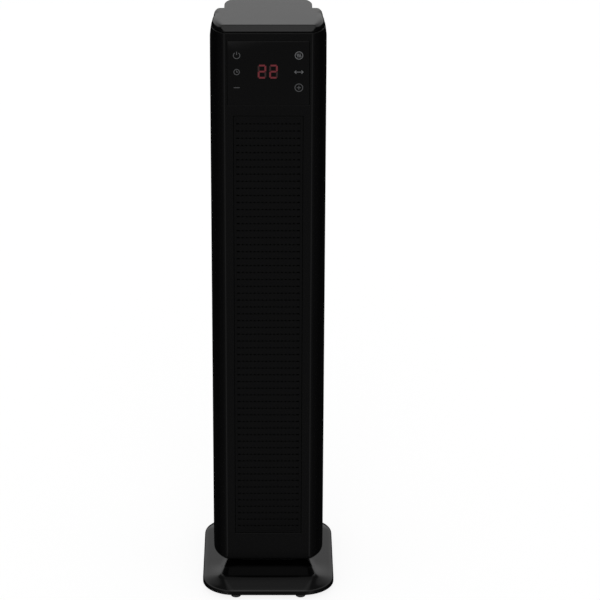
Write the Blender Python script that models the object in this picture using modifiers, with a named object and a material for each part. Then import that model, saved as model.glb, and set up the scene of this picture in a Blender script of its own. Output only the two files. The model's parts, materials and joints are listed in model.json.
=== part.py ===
"""Tower fan heater on a flat swinging base, modelled piece by piece.

Metres, +Z up. The floor is z = 0, the base's middle is x = y = 0 and the front faces -Y.
The tower turns about a vertical axis that stands SWING_Y behind the base's middle.
"""

import math

import bmesh
import bpy
import numpy as np
from mathutils import Matrix, Vector

MM = 0.001

# Fits and shared sizes
GAP = 0.3 * MM
RUNNING_GAP = 0.4 * MM
OVERRUN = 4 * MM
WALL = 2.2 * MM
ROUND_STEPS = 24
SMALL_STEPS = 12
SCREW_STEPS = 8

# Overall
TOTAL_HEIGHT = 650 * MM
SWING_Y = 9 * MM
SWING_LIMIT = math.radians(35)

# Base cover: a low rim, and a plinth that carries the tower
BASE_HALF_WIDTH = 73.4 * MM
BASE_HALF_DEPTH = 89 * MM
BASE_FRONT_RADIUS = 36 * MM
BASE_REAR_RADIUS = 33 * MM
FOOT_HEIGHT = 5 * MM
RIM_WALL_HEIGHT = 3.5 * MM
RIM_RADIUS = 4 * MM
RIM_TURN = math.radians(45)
CREST_RISE = 17 * MM
CREST_INSET = 12 * MM
CREST_REACH = 12 * MM
CREST_FRONT_RADIUS = 14 * MM
CREST_REAR_RADIUS = 24 * MM
PLINTH_RISE = 21.4 * MM
PLINTH_EDGE_RADIUS = 1.6 * MM
PLINTH_HALF_WIDTH = 40 * MM
PLINTH_FRONT = 43 * MM
PLINTH_REAR = 60 * MM
PLINTH_FRONT_RADIUS = 10 * MM
PLINTH_REAR_RADIUS = 24 * MM
BASE_PLATE_THICKNESS = 2.4 * MM

# Feet and base screws
FOOT_RADIUS = 5.5 * MM
FOOT_CHAMFER = 0.7 * MM
FOOT_X = 36 * MM
FOOT_FRONT_MARGIN = 9.5 * MM
FOOT_FRONT_Y = BASE_HALF_DEPTH - FOOT_FRONT_MARGIN
FOOT_REAR_MARGIN = 13 * MM
FOOT_REAR_Y = BASE_HALF_DEPTH - FOOT_REAR_MARGIN
FOOT_RECESS = 1.4 * MM
SCREW_RADIUS = 1.4 * MM
SCREW_HEAD_RADIUS = 3.2 * MM
SCREW_HEAD_HEIGHT = 1.1 * MM
SCREW_LENGTH = 9 * MM
SCREW_SLOT_WIDTH = 0.8 * MM
SCREW_SLOT_DEPTH = 0.5 * MM
BOSS_WALL = 1.8 * MM
BASE_BOSS_X = 34 * MM
BASE_BOSS_FRONT_Y = 34 * MM
BASE_BOSS_REAR_Y = 44 * MM

# Swing bearing: a post on the base, a slide ring, a fixed gear and its clip
POST_RADIUS = 13 * MM
POST_BORE = 9 * MM
POST_FLANGE_RADIUS = 21 * MM
POST_FLANGE_THICKNESS = 2.2 * MM
SPIGOT_RADIUS = 11 * MM
SLIDE_RING_RADIUS = 37 * MM
TOWER_GAP = 3 * MM
CHASSIS_THICKNESS = 3 * MM
GEAR_THICKNESS = 4.6 * MM
CLIP_THICKNESS = 1.5 * MM
CLIP_RADIUS = 14.5 * MM
CLIP_MOUTH = 8 * MM
GEAR_MODULE = 1.0 * MM
GEAR_TEETH = 40
PINION_TEETH = 10
GEAR_SECTOR = math.radians(62)
PRESSURE_ANGLE = math.radians(20)
GEAR_BACKLASH = 0.3 * MM
GEAR_TIP_CLEARANCE = 0.35 * MM
PINION_BORE_STUB = 2 * MM
POST_SCREW_CIRCLE = 17 * MM

# Tip-over switch in the base
PLUNGER_Y = 47 * MM
PLUNGER_RADIUS = 4 * MM
PLUNGER_FLANGE_RADIUS = 5.6 * MM
PLUNGER_FLANGE_THICKNESS = 1.2 * MM
PLUNGER_TRAVEL = 4 * MM
PLUNGER_LIFT = 0.2 * MM
SWITCH_LENGTH = 24 * MM
SWITCH_WIDTH = 10 * MM
SWITCH_HEIGHT = 5.6 * MM
SWITCH_POST_WIDTH = 4 * MM

# Tower, in plan about the swing axis: flat front, arched flanks, narrower rear housing
TOWER_FRONT = 58 * MM
TOWER_REAR = 55 * MM
TOWER_HALF_WIDTH = 61.6 * MM
FLAT_HALF_WIDTH = 46.8 * MM
CREASE_RADIUS = 6.6 * MM
WIDEST_Y = -24 * MM
FLANK_REAR_RADIUS = 80 * MM
FRONT_SHELL_REAR = 12 * MM
FRONT_LIP_RADIUS = 4.2 * MM
REAR_HALF_WIDTH = 47.1 * MM
REAR_CORNER_RADIUS = 28 * MM
REAR_SHELL_START = 5 * MM
CAP_HEIGHT = 7.5 * MM
CAP_SEAM = 0.6 * MM
CAP_ROUND = 1.5 * MM
CAP_INSET = 0.9 * MM
CAP_NECK_DEPTH = 5 * MM
CAP_CHAMFER_DROP = 6.6 * MM
CAP_CHAMFER_DEPTH = 4 * MM
SHOULDER_HEIGHT = 11 * MM
SHOULDER_INSET = 1.2 * MM
HEM_HEIGHT = 3.5 * MM
HEM_INSET = 0.9 * MM

# Front: touch panel and outlet grille
PANEL_LOW_DROP = 86.5 * MM
PANEL_LOW = TOTAL_HEIGHT - PANEL_LOW_DROP
PANEL_HIGH_DROP = 16.5 * MM
PANEL_HIGH = TOTAL_HEIGHT - PANEL_HIGH_DROP
PANEL_HALF_WIDTH = 43 * MM
PANEL_FLANGE = 1.2 * MM
PANEL_FLANGE_THICKNESS = 1.2 * MM
OUTLET_LOW = 62 * MM
OUTLET_HIGH_DROP = 98 * MM
OUTLET_HIGH = TOTAL_HEIGHT - OUTLET_HIGH_DROP
OUTLET_HALF_WIDTH = 37 * MM
GRILLE_RECESS = 0.5 * MM
GRILLE_BORDER = 3 * MM
GRILLE_PITCH = 8 * MM
GRILLE_SLOT = 2 * MM

# Touch board behind the panel
KEY_X = 32.5 * MM
KEY_DROPS = (32 * MM, 50 * MM, 67 * MM)
KEY_HEIGHTS = tuple(TOTAL_HEIGHT - drop for drop in KEY_DROPS)
KEY_RADIUS = 4 * MM
DISPLAY_WIDTH = 30 * MM
DISPLAY_HEIGHT = 19 * MM
DISPLAY_DEPTH = 6.2 * MM
DISPLAY_DROP = 49.5 * MM
DISPLAY_Z = TOTAL_HEIGHT - DISPLAY_DROP
RECEIVER_X = 19.5 * MM
RECEIVER_DROP = 62 * MM
RECEIVER_Z = TOTAL_HEIGHT - RECEIVER_DROP
RECEIVER_WIDTH = 6 * MM
RECEIVER_HEIGHT = 7 * MM
BOARD_THICKNESS = 1.6 * MM
BOARD_HALF_WIDTH = 39 * MM
BOARD_MARGIN = 3 * MM
BUZZER_RADIUS = 6 * MM
BUZZER_HEIGHT = 7 * MM
BUZZER_X = 24 * MM

# Decks that carry the fan between them
MOTOR_DECK_Z = 118 * MM
BEARING_DECK_DROP = 110 * MM
BEARING_DECK_Z = TOTAL_HEIGHT - BEARING_DECK_DROP
DECK_THICKNESS = 4 * MM
DECK_BOSS_RADIUS = 3.6 * MM
DECK_BOSS_LENGTH = 14 * MM
SCREW_X = 13 * MM
WELL_RADIUS = 5.5 * MM
WELL_BORE = 3.8 * MM
WELL_DEPTH = 10.5 * MM
WELL_FLOOR = 2 * MM

# Fan and its motor
WHEEL_Y = 4 * MM
WHEEL_RADIUS = 30 * MM
WHEEL_END_GAP = 6 * MM
WHEEL_DISC = 2 * MM
WHEEL_DISCS = 3
WHEEL_BLADES = 16
BLADE_DEPTH = 9 * MM
BLADE_THICKNESS = 1.2 * MM
BLADE_PITCH = math.radians(30)
SHAFT_RADIUS = 3 * MM
SHAFT_ENGAGEMENT = 10 * MM
MOTOR_RADIUS = 27 * MM
MOTOR_HEIGHT = 50 * MM
MOTOR_END_RADIUS = 17 * MM
MOTOR_END_HEIGHT = 8 * MM
BEARING_RADIUS = 8 * MM
BEARING_FLANGE_RADIUS = 10.5 * MM
BEARING_FLANGE_THICKNESS = 1.8 * MM

# Air channel
DUCT_WALL = 1.6 * MM
SCROLL_START_RADIUS = 33 * MM
SCROLL_END_RADIUS = 42 * MM
SCROLL_START = math.radians(128)
SCROLL_END = math.radians(216)
NOSE_RADIUS = 33 * MM
NOSE_START = math.radians(-2)
NOSE_END = math.radians(-26)

# Heater
HEATER_HALF_WIDTH = 38 * MM
HEATER_FRONT = 51.5 * MM
HEATER_REAR = 36 * MM
HEATER_WALL = 3 * MM
CORE_INSET = 2 * MM
CORE_RAIL = 5 * MM
CORE_FINS = 15
CORE_FIN = 4 * MM
THERMOSTAT_RADIUS = 8 * MM
THERMOSTAT_HEIGHT = 6 * MM
THERMOSTAT_DROP = 150 * MM
THERMOSTAT_Z = TOTAL_HEIGHT - THERMOSTAT_DROP
FUSE_RADIUS = 2.2 * MM
FUSE_LENGTH = 16 * MM
FUSE_DROP = 180 * MM
FUSE_Z = TOTAL_HEIGHT - FUSE_DROP

# Swing motor and power board in the tower's foot
SWING_MOTOR_RADIUS = 24 * MM
SWING_MOTOR_HEIGHT = 15 * MM
SWING_MOTOR_CLEARANCE = 1 * MM
SWING_EAR_REACH = 8 * MM
SWING_EAR_WIDTH = 8 * MM
SWING_EAR_THICKNESS = 2 * MM
SWING_POST_RADIUS = 3 * MM
POWER_BOARD_HALF_WIDTH = 32 * MM
POWER_BOARD_HEIGHT = 72 * MM
POWER_BOARD_Y = -44 * MM
RELAY_WIDTH = 16 * MM
RELAY_DEPTH = 13 * MM
RELAY_HEIGHT = 20 * MM
TRANSFORMER_WIDTH = 24 * MM
TRANSFORMER_HEIGHT = 18 * MM

# Rear: intake, filter, grip, switch and cord gland
INTAKE_LOW = 150 * MM
INTAKE_HIGH_DROP = 128 * MM
INTAKE_HIGH = TOTAL_HEIGHT - INTAKE_HIGH_DROP
INTAKE_HALF_WIDTH = 34 * MM
INTAKE_PITCH = 12 * MM
INTAKE_SLOT = 3.6 * MM
FILTER_THICKNESS = 2 * MM
FILTER_BORDER = 3 * MM
FILTER_BARS = 5
HOOD_HEIGHT = 96 * MM
HOOD_LOW = TOTAL_HEIGHT - HOOD_HEIGHT
GRIP_HALF_WIDTH = 32 * MM
GRIP_LOW_DROP = 84 * MM
GRIP_LOW = TOTAL_HEIGHT - GRIP_LOW_DROP
GRIP_HIGH_DROP = 50 * MM
GRIP_HIGH = TOTAL_HEIGHT - GRIP_HIGH_DROP
GRIP_DEPTH = 24 * MM
GRIP_WALL = 2 * MM
GLAND_Z = 64 * MM
GLAND_RADIUS = 6.7 * MM
GLAND_FLANGE_RADIUS = 9 * MM
GLAND_FLANGE_THICKNESS = 2.6 * MM
GLAND_BORE = 3.6 * MM
GLAND_DEPTH = 6 * MM
ROCKER_Z = 92 * MM
ROCKER_HALF_WIDTH = 5 * MM
ROCKER_HALF_HEIGHT = 8.5 * MM
ROCKER_DEPTH = 6 * MM
ROCKER_PROUD = 1.4 * MM
ROCKER_TILT = math.radians(8)
ROCKER_CLEARANCE = 0.7 * MM
ROCKER_FRAME = 2 * MM
ROCKER_FRAME_PROUD = 1.2 * MM
ROCKER_FRAME_FLANGE = 2 * MM
ROCKER_BODY_DEPTH = 16 * MM
ROCKER_PIN_RADIUS = 1 * MM

# Levels that follow from the sizes above
BASE_TOP = FOOT_HEIGHT + PLINTH_RISE
PLATE_TOP = FOOT_HEIGHT + BASE_PLATE_THICKNESS
TOWER_BOTTOM = BASE_TOP + TOWER_GAP
CHASSIS_TOP = TOWER_BOTTOM + CHASSIS_THICKNESS
CAP_BOTTOM = TOTAL_HEIGHT - CAP_HEIGHT
SHELL_TOP = CAP_BOTTOM - CAP_SEAM
GEAR_BOTTOM = CHASSIS_TOP + RUNNING_GAP
GEAR_TOP = GEAR_BOTTOM + GEAR_THICKNESS
SPIGOT_TOP = GEAR_TOP + CLIP_THICKNESS + 2 * GAP
SWING_MOTOR_BOTTOM = SPIGOT_TOP + SWING_MOTOR_CLEARANCE
GEAR_CENTRES = GEAR_MODULE * (GEAR_TEETH + PINION_TEETH) / 2
DECK_TOP = MOTOR_DECK_Z + DECK_THICKNESS
BEARING_DECK_TOP = BEARING_DECK_Z + DECK_THICKNESS
WHEEL_LOW = DECK_TOP + WHEEL_END_GAP
WHEEL_HIGH = BEARING_DECK_Z - WHEEL_END_GAP
MOTOR_TOP = MOTOR_DECK_Z - GAP
PANEL_BACK = -TOWER_FRONT + WALL + GAP + PANEL_FLANGE_THICKNESS
BOARD_FRONT = PANEL_BACK + 2 * GAP + DISPLAY_DEPTH
BOARD_BACK = BOARD_FRONT + BOARD_THICKNESS
REAR_INSIDE = TOWER_REAR - WALL

BLACK_GLOSS = ("black_gloss", (0.012, 0.012, 0.013), 0.16, 0.0)
BLACK_MATTE = ("black_matte", (0.018, 0.018, 0.019), 0.5, 0.0)
BLACK_TEXTURED = ("black_textured", (0.02, 0.02, 0.021), 0.42, 0.0)
SMOKED_PANEL = ("smoked_panel", (0.01, 0.01, 0.011), 0.07, 0.0)
RUBBER = ("rubber", (0.03, 0.03, 0.03), 0.85, 0.0)
STEEL = ("steel", (0.56, 0.57, 0.58), 0.34, 1.0)
ALUMINIUM = ("aluminium", (0.78, 0.79, 0.8), 0.38, 1.0)
BRASS = ("brass", (0.72, 0.55, 0.26), 0.35, 1.0)
WHITE_NYLON = ("white_nylon", (0.78, 0.77, 0.72), 0.45, 0.0)
MICA_PLASTIC = ("heat_proof_plastic", (0.12, 0.11, 0.1), 0.6, 0.0)
BOARD_GREEN = ("board_green", (0.03, 0.2, 0.09), 0.4, 0.0)
DISPLAY_DARK = ("display_dark", (0.05, 0.012, 0.014), 0.25, 0.0)
FILTER_MESH = ("filter_mesh", (0.04, 0.04, 0.045), 0.8, 0.0)


# Scene

def clear_scene():
    for item in list(bpy.data.objects):
        bpy.data.objects.remove(item, do_unlink=True)


def new_collection(name):
    made = bpy.data.collections.new(name)
    bpy.context.scene.collection.children.link(made)
    return made


clear_scene()
PARTS = new_collection("fan_heater")
CUTTERS = new_collection("cutters")


def finish_material(look):
    name, colour, roughness, metallic = look
    made = bpy.data.materials.get(name)
    if made is None:
        made = bpy.data.materials.new(name)
        made.use_nodes = True
        shader = made.node_tree.nodes["Principled BSDF"]
        shader.inputs["Base Color"].default_value = (*colour, 1)
        shader.inputs["Roughness"].default_value = roughness
        shader.inputs["Metallic"].default_value = metallic
    return made


def new_axis(name, place, parent=None):
    """An empty that a moving group hangs on."""
    axis = bpy.data.objects.new(name, None)
    axis.location = place
    axis.parent = parent
    PARTS.objects.link(axis)
    return axis


def new_part(name, mesh, look, parent=None, place=(0, 0, 0), turn=(0, 0, 0)):
    part = bpy.data.objects.new(name, mesh)
    part.location = place
    part.rotation_euler = turn
    part.parent = parent
    mesh.materials.append(finish_material(look))
    PARTS.objects.link(part)
    return part


def new_tool(name, mesh, parent=None, place=(0, 0, 0), turn=(0, 0, 0)):
    """A hidden shape that a Boolean reads."""
    tool = bpy.data.objects.new(name, mesh)
    tool.location = place
    tool.rotation_euler = turn
    tool.parent = parent
    tool.hide_render = True
    tool.display_type = "WIRE"
    CUTTERS.objects.link(tool)
    return tool


def combine(part, operation, tool):
    step = part.modifiers.new(f"{operation.lower()}_{tool.name}", "BOOLEAN")
    step.operation = operation
    step.solver = "EXACT"
    step.object = tool


def cut(part, *tools):
    for tool in tools:
        combine(part, "DIFFERENCE", tool)


def join(part, *tools):
    for tool in tools:
        combine(part, "UNION", tool)


# Meshes

def mesh_from(shape, name, smooth=False):
    """The bmesh as a mesh, with its faces turned outwards."""
    bmesh.ops.recalc_face_normals(shape, faces=shape.faces)
    mesh = bpy.data.meshes.new(name)
    shape.to_mesh(mesh)
    shape.free()
    if smooth:
        mesh.shade_smooth()
        mesh.set_sharp_from_angle(angle=math.radians(35))
    return mesh


def box_mesh(name, *boxes):
    """Boxes, each given by its lowest and highest corner."""
    shape = bmesh.new()
    for low, high in boxes:
        low, high = Vector(low), Vector(high)
        middle = Matrix.Translation((low + high) / 2)
        bmesh.ops.create_cube(shape, size=1, matrix=middle @ Matrix.Diagonal((*(high - low), 1)))
    return mesh_from(shape, name)


def rod_mesh(name, *rods, steps=ROUND_STEPS):
    """Cylinders, each given by its radius and the middles of its two ends."""
    shape = bmesh.new()
    for radius, start, end in rods:
        start, end = Vector(start), Vector(end)
        along = end - start
        turn = along.to_track_quat("Z", "Y").to_matrix().to_4x4()
        bmesh.ops.create_cone(
            shape, cap_ends=True, segments=steps, radius1=radius, radius2=radius,
            depth=along.length, matrix=Matrix.Translation((start + end) / 2) @ turn,
        )
    return mesh_from(shape, name, smooth=True)


def prism_mesh(name, outline, low, high):
    """A flat outline, raised from one height to another."""
    shape = bmesh.new()
    corners = [shape.verts.new((x, y, low)) for x, y in outline]
    floor = shape.faces.new(corners)
    raised = bmesh.ops.extrude_face_region(shape, geom=[floor])
    moved = [item for item in raised["geom"] if isinstance(item, bmesh.types.BMVert)]
    bmesh.ops.translate(shape, verts=moved, vec=(0, 0, high - low))
    return mesh_from(shape, name)


def loft_mesh(name, rings, closed=True, cap_low=True, cap_high=True):
    """Outlines of equal point count, joined one above the other."""
    shape = bmesh.new()
    rows = [[shape.verts.new((x, y, z)) for x, y in outline] for outline, z in rings]
    for lower, upper in zip(rows, rows[1:]):
        count = len(lower) if closed else len(lower) - 1
        for i in range(count):
            j = (i + 1) % len(lower)
            shape.faces.new((lower[i], lower[j], upper[j], upper[i]))
    if closed and cap_low:
        shape.faces.new(rows[0][::-1])
    if closed and cap_high:
        shape.faces.new(rows[-1])
    mesh = bpy.data.meshes.new(name)
    shape.to_mesh(mesh)
    shape.free()
    mesh.shade_smooth()
    mesh.set_sharp_from_angle(angle=math.radians(35))
    return mesh


def turned_mesh(name, profile, loop=False):
    """A line of (radius, height) points to be spun about Z."""
    mesh = bpy.data.meshes.new(name)
    points = [(radius, 0, height) for radius, height in profile]
    edges = [(i, i + 1) for i in range(len(points) - 1)]
    if loop:
        edges.append((len(points) - 1, 0))
    mesh.from_pydata(points, edges, [])
    return mesh


def spin(part, steps=ROUND_STEPS):
    screw = part.modifiers.new("spin", "SCREW")
    screw.axis = "Z"
    screw.angle = math.radians(360)
    screw.steps = steps
    screw.render_steps = steps
    screw.use_merge_vertices = True
    screw.merge_threshold = MM / 100
    screw.use_smooth_shade = True
    return part


def thicken(part, thickness):
    """Gives an open surface its wall, on the inner side."""
    solid = part.modifiers.new("wall", "SOLIDIFY")
    solid.thickness = thickness
    solid.offset = -1
    solid.use_even_offset = True


# Outlines in plan, counter-clockwise seen from above

def arc(centre, radius, start, end, steps):
    """Points along a circle, both ends included."""
    angles = np.linspace(start, end, steps + 1)
    return [(centre[0] + radius * math.cos(a), centre[1] + radius * math.sin(a)) for a in angles]


def inset(points, distance, closed=True):
    """The same line moved sideways to its left, with mitred corners."""
    line = np.array(points, float)
    before = np.roll(line, 1, axis=0)
    after = np.roll(line, -1, axis=0)
    if not closed:
        before[0] = 2 * line[0] - line[1]
        after[-1] = 2 * line[-1] - line[-2]
    first = line - before
    second = after - line
    first /= np.linalg.norm(first, axis=1)[:, None]
    second /= np.linalg.norm(second, axis=1)[:, None]
    sides = [np.stack([-step[:, 1], step[:, 0]], axis=1) for step in (first, second)]
    spread = 1 + (sides[0] * sides[1]).sum(axis=1)
    moved = line + distance * (sides[0] + sides[1]) / spread[:, None]
    return [tuple(point) for point in moved]


def mirrored(half):
    """Closes a right-hand half, which runs from the front to the back, with its mirror image."""
    left = [(-x, y) for x, y in reversed(half)]
    return half + left


def rounded_outline(half_width, front, rear, front_radius, rear_radius, steps=6):
    """A rectangle from -front to rear in Y, with its own radius at the front and rear corners."""
    quarter = math.pi / 2
    front_centre = (half_width - front_radius, front_radius - front)
    rear_centre = (half_width - rear_radius, rear - rear_radius)
    return mirrored(
        arc(front_centre, front_radius, -quarter, 0, steps)
        + arc(rear_centre, rear_radius, 0, quarter, steps)
    )


def rim_outline(inward=0.0):
    return rounded_outline(
        BASE_HALF_WIDTH - inward, BASE_HALF_DEPTH - inward, BASE_HALF_DEPTH - inward,
        BASE_FRONT_RADIUS - inward, BASE_REAR_RADIUS - inward,
    )


def front_half():
    """Right half of the front shell: flat, crease, flank, rear flank and the lip that turns in."""
    reach = TOWER_HALF_WIDTH - FLAT_HALF_WIDTH
    depth = WIDEST_Y + TOWER_FRONT
    radius = (reach ** 2 + depth ** 2) / (2 * reach)
    centre = (TOWER_HALF_WIDTH - radius, WIDEST_Y)
    corner_angle = math.atan2(-depth, FLAT_HALF_WIDTH - centre[0])
    fold = corner_angle + math.pi / 2
    trim = CREASE_RADIUS * math.tan(fold / 2)
    crease_centre = (FLAT_HALF_WIDTH - trim, CREASE_RADIUS - TOWER_FRONT)
    crease = arc(crease_centre, CREASE_RADIUS, -math.pi / 2, corner_angle, 3)
    flank = arc(centre, radius, corner_angle + trim / radius, 0, 6)
    rear_centre = (TOWER_HALF_WIDTH - FLANK_REAR_RADIUS, WIDEST_Y)
    lip_y = FRONT_SHELL_REAR - FRONT_LIP_RADIUS
    rear_angle = math.asin((lip_y - WIDEST_Y) / FLANK_REAR_RADIUS)
    rear_flank = arc(rear_centre, FLANK_REAR_RADIUS, 0, rear_angle, 4)
    end_x = rear_flank[-1][0]
    lip = arc((end_x - FRONT_LIP_RADIUS, lip_y), FRONT_LIP_RADIUS, rear_angle, math.pi / 2, 3)
    return crease + flank[1:] + rear_flank[1:-1] + lip


def rear_half(start):
    """Right half of the rear housing, from the given y to the back."""
    centre = (REAR_HALF_WIDTH - REAR_CORNER_RADIUS, TOWER_REAR - REAR_CORNER_RADIUS)
    corner = arc(centre, REAR_CORNER_RADIUS, 0, math.pi / 2, 5)
    return [(REAR_HALF_WIDTH, start)] + corner


def front_shell_line():
    """Open line of the front shell, from its left lip round the front to its right lip."""
    right = front_half() + [(REAR_HALF_WIDTH + GAP, FRONT_SHELL_REAR)]
    left = [(-x, y) for x, y in reversed(right)]
    return left + right


def rear_shell_line():
    """Open line of the rear housing, from its right edge round the back to its left edge."""
    right = rear_half(REAR_SHELL_START)
    left = [(-x, y) for x, y in reversed(right)]
    return right + left


def tower_outline():
    """The whole tower seen from above."""
    return mirrored(front_half() + rear_half(FRONT_SHELL_REAR))


def room_outline(clearance):
    """The room inside both shells, less a clearance."""
    wall = WALL + clearance
    limit = REAR_SHELL_START - clearance
    front = inset(front_half(), wall, closed=False)
    kept = [point for point in front if point[1] < limit]
    (x, y), (next_x, next_y) = kept[-1], front[len(kept)]
    shoulder = (x + (next_x - x) * (limit - y) / (next_y - y), limit)
    rear = inset(rear_half(REAR_SHELL_START), wall, closed=False)
    return mirrored(kept + [shoulder, (rear[0][0], limit)] + rear[1:])


# Base

def make_base_cover():
    rounding = []
    for share in (1 / 3, 2 / 3, 1):
        turn = share * RIM_TURN
        inward = RIM_RADIUS * (1 - math.cos(turn))
        rise = RIM_WALL_HEIGHT + RIM_RADIUS * math.sin(turn)
        rounding.append((rim_outline(inward), FOOT_HEIGHT + rise))
    depth = BASE_HALF_DEPTH - CREST_INSET
    crest = rounded_outline(
        PLINTH_HALF_WIDTH + CREST_REACH, depth, depth, CREST_FRONT_RADIUS, CREST_REAR_RADIUS,
    )
    top = rounded_outline(
        PLINTH_HALF_WIDTH, PLINTH_FRONT, PLINTH_REAR, PLINTH_FRONT_RADIUS, PLINTH_REAR_RADIUS,
    )
    rings = [
        (rim_outline(), FOOT_HEIGHT),
        (rim_outline(), FOOT_HEIGHT + RIM_WALL_HEIGHT),
        *rounding,
        (crest, FOOT_HEIGHT + CREST_RISE),
        (inset(top, -PLINTH_EDGE_RADIUS), BASE_TOP - PLINTH_EDGE_RADIUS / 2),
        (top, BASE_TOP),
    ]
    mesh = loft_mesh("base_cover", rings, cap_low=False)
    part = new_part("base_cover", mesh, BLACK_GLOSS)
    thicken(part, WALL)
    boss_foot = PLATE_TOP + GAP
    boss_top = BASE_TOP - WALL / 2
    places = base_screw_places()
    bosses = [(SCREW_RADIUS + BOSS_WALL, (x, y, boss_foot), (x, y, boss_top)) for x, y in places]
    bores = [
        (SCREW_RADIUS + GAP, (x, y, 0), (x, y, FOOT_HEIGHT + SCREW_LENGTH + GAP)) for x, y in places
    ]
    hole = (POST_RADIUS + GAP, (0, SWING_Y, 0), (0, SWING_Y, BASE_TOP + OVERRUN))
    join(part, new_tool("base_bosses", rod_mesh("base_bosses", *bosses, steps=SMALL_STEPS)))
    cut(part, new_tool("base_boss_bores", rod_mesh("base_boss_bores", *bores, steps=SMALL_STEPS)))
    cut(part, new_tool("base_post_hole", rod_mesh("base_post_hole", hole)))
    screws = [
        (SCREW_RADIUS + GAP, (x, y, 0), (x, y, BASE_TOP - WALL / 3)) for x, y in post_screw_places()
    ]
    cut(part, new_tool("post_screw_holes", rod_mesh("post_screw_holes", *screws, steps=SMALL_STEPS)))


def base_screw_places():
    return [(x, y) for y in (-BASE_BOSS_FRONT_Y, BASE_BOSS_REAR_Y) for x in (-BASE_BOSS_X, BASE_BOSS_X)]


def post_screw_places():
    angles = [math.radians(90 + 120 * i) for i in range(3)]
    return [
        (POST_SCREW_CIRCLE * math.cos(a), SWING_Y + POST_SCREW_CIRCLE * math.sin(a)) for a in angles
    ]


def foot_places():
    return [(x, y) for y in (-FOOT_FRONT_Y, FOOT_REAR_Y) for x in (-FOOT_X, FOOT_X)]


def make_base_plate():
    outline = rim_outline(WALL + GAP)
    part = new_part(
        "base_bottom", prism_mesh("base_bottom", outline, FOOT_HEIGHT, PLATE_TOP), BLACK_MATTE,
    )
    post_top = PLATE_TOP + PLUNGER_TRAVEL + PLUNGER_FLANGE_THICKNESS + 2 * GAP
    reach = SWITCH_LENGTH / 2
    posts = []
    for side in (-1, 1):
        ends = sorted((side * reach, side * (reach - SWITCH_POST_WIDTH)))
        low = (ends[0], PLUNGER_Y - SWITCH_WIDTH / 2, PLATE_TOP - BASE_PLATE_THICKNESS / 2)
        high = (ends[1], PLUNGER_Y + SWITCH_WIDTH / 2, post_top)
        posts.append((low, high))
    join(part, new_tool("switch_posts", box_mesh("switch_posts", *posts)))
    under = FOOT_HEIGHT - OVERRUN
    over = PLATE_TOP + OVERRUN
    recess = FOOT_HEIGHT + FOOT_RECESS
    seats = [(FOOT_RADIUS + GAP, (x, y, under), (x, y, recess)) for x, y in foot_places()]
    heads = [(SCREW_HEAD_RADIUS + GAP, (x, y, under), (x, y, recess)) for x, y in base_screw_places()]
    shanks = [(SCREW_RADIUS + GAP, (x, y, under), (x, y, over)) for x, y in base_screw_places()]
    hole = (PLUNGER_RADIUS + GAP, (0, PLUNGER_Y, under), (0, PLUNGER_Y, over))
    cut(part, new_tool("foot_seats", rod_mesh("foot_seats", *seats, steps=SMALL_STEPS)))
    cut(part, new_tool("screw_seats", rod_mesh("screw_seats", *heads, steps=SMALL_STEPS)))
    cut(part, new_tool("screw_holes", rod_mesh("screw_holes", *shanks, steps=SMALL_STEPS)))
    cut(part, new_tool("plunger_hole", rod_mesh("plunger_hole", hole)))


def make_feet():
    top = FOOT_HEIGHT + FOOT_RECESS - GAP
    profile = [
        (0, top), (FOOT_RADIUS, top), (FOOT_RADIUS, FOOT_CHAMFER),
        (FOOT_RADIUS - FOOT_CHAMFER, 0), (0, 0),
    ]
    for number, (x, y) in enumerate(foot_places(), 1):
        name = f"rubber_foot_{number}"
        spin(new_part(name, turned_mesh(name, profile), RUBBER, place=(x, y, 0)), SMALL_STEPS)


def screw_profile(length):
    """A screw with its head down at z = 0 and its shank up."""
    tip = SCREW_RADIUS / 2
    return [
        (0, length), (tip, length), (SCREW_RADIUS, length - tip),
        (SCREW_RADIUS, SCREW_HEAD_HEIGHT), (SCREW_HEAD_RADIUS, SCREW_HEAD_HEIGHT),
        (SCREW_HEAD_RADIUS, SCREW_SLOT_DEPTH / 2), (SCREW_HEAD_RADIUS - SCREW_SLOT_DEPTH / 2, 0), (0, 0),
    ]


def make_screw(name, length, place, turn=(0, 0, 0), parent=None):
    mesh = turned_mesh(name, screw_profile(length))
    part = spin(new_part(name, mesh, STEEL, parent, place, turn), SCREW_STEPS)
    half = SCREW_HEAD_RADIUS
    wide = SCREW_SLOT_WIDTH / 2
    slot = box_mesh(f"{name}_slot", ((-half, -wide, -SCREW_SLOT_DEPTH), (half, wide, SCREW_SLOT_DEPTH)))
    cut(part, new_tool(f"{name}_slot", slot, parent, place, turn))


def make_base_screws():
    for number, (x, y) in enumerate(base_screw_places(), 1):
        make_screw(f"base_screw_{number}", SCREW_LENGTH, (x, y, FOOT_HEIGHT))


def make_pivot_post():
    flange_top = BASE_TOP - WALL - GAP
    flange_low = flange_top - POST_FLANGE_THICKNESS
    profile = [
        (POST_BORE, SPIGOT_TOP), (SPIGOT_RADIUS, SPIGOT_TOP), (SPIGOT_RADIUS, GEAR_BOTTOM),
        (POST_RADIUS, GEAR_BOTTOM), (POST_RADIUS, flange_top), (POST_FLANGE_RADIUS, flange_top),
        (POST_FLANGE_RADIUS, flange_low), (POST_BORE, flange_low),
    ]
    mesh = turned_mesh("pivot_post", profile, loop=True)
    part = spin(new_part("pivot_post", mesh, WHITE_NYLON, place=(0, SWING_Y, 0)))
    holes = [
        (SCREW_RADIUS + GAP, (x, y, 0), (x, y, flange_top + GAP / 2)) for x, y in post_screw_places()
    ]
    cut(part, new_tool("post_flange_holes", rod_mesh("post_flange_holes", *holes, steps=SMALL_STEPS)))
    head = flange_low - GAP - SCREW_HEAD_HEIGHT
    length = BASE_TOP - WALL / 3 - GAP - head
    for number, (x, y) in enumerate(post_screw_places(), 1):
        make_screw(f"post_screw_{number}", length, (x, y, head))


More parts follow.
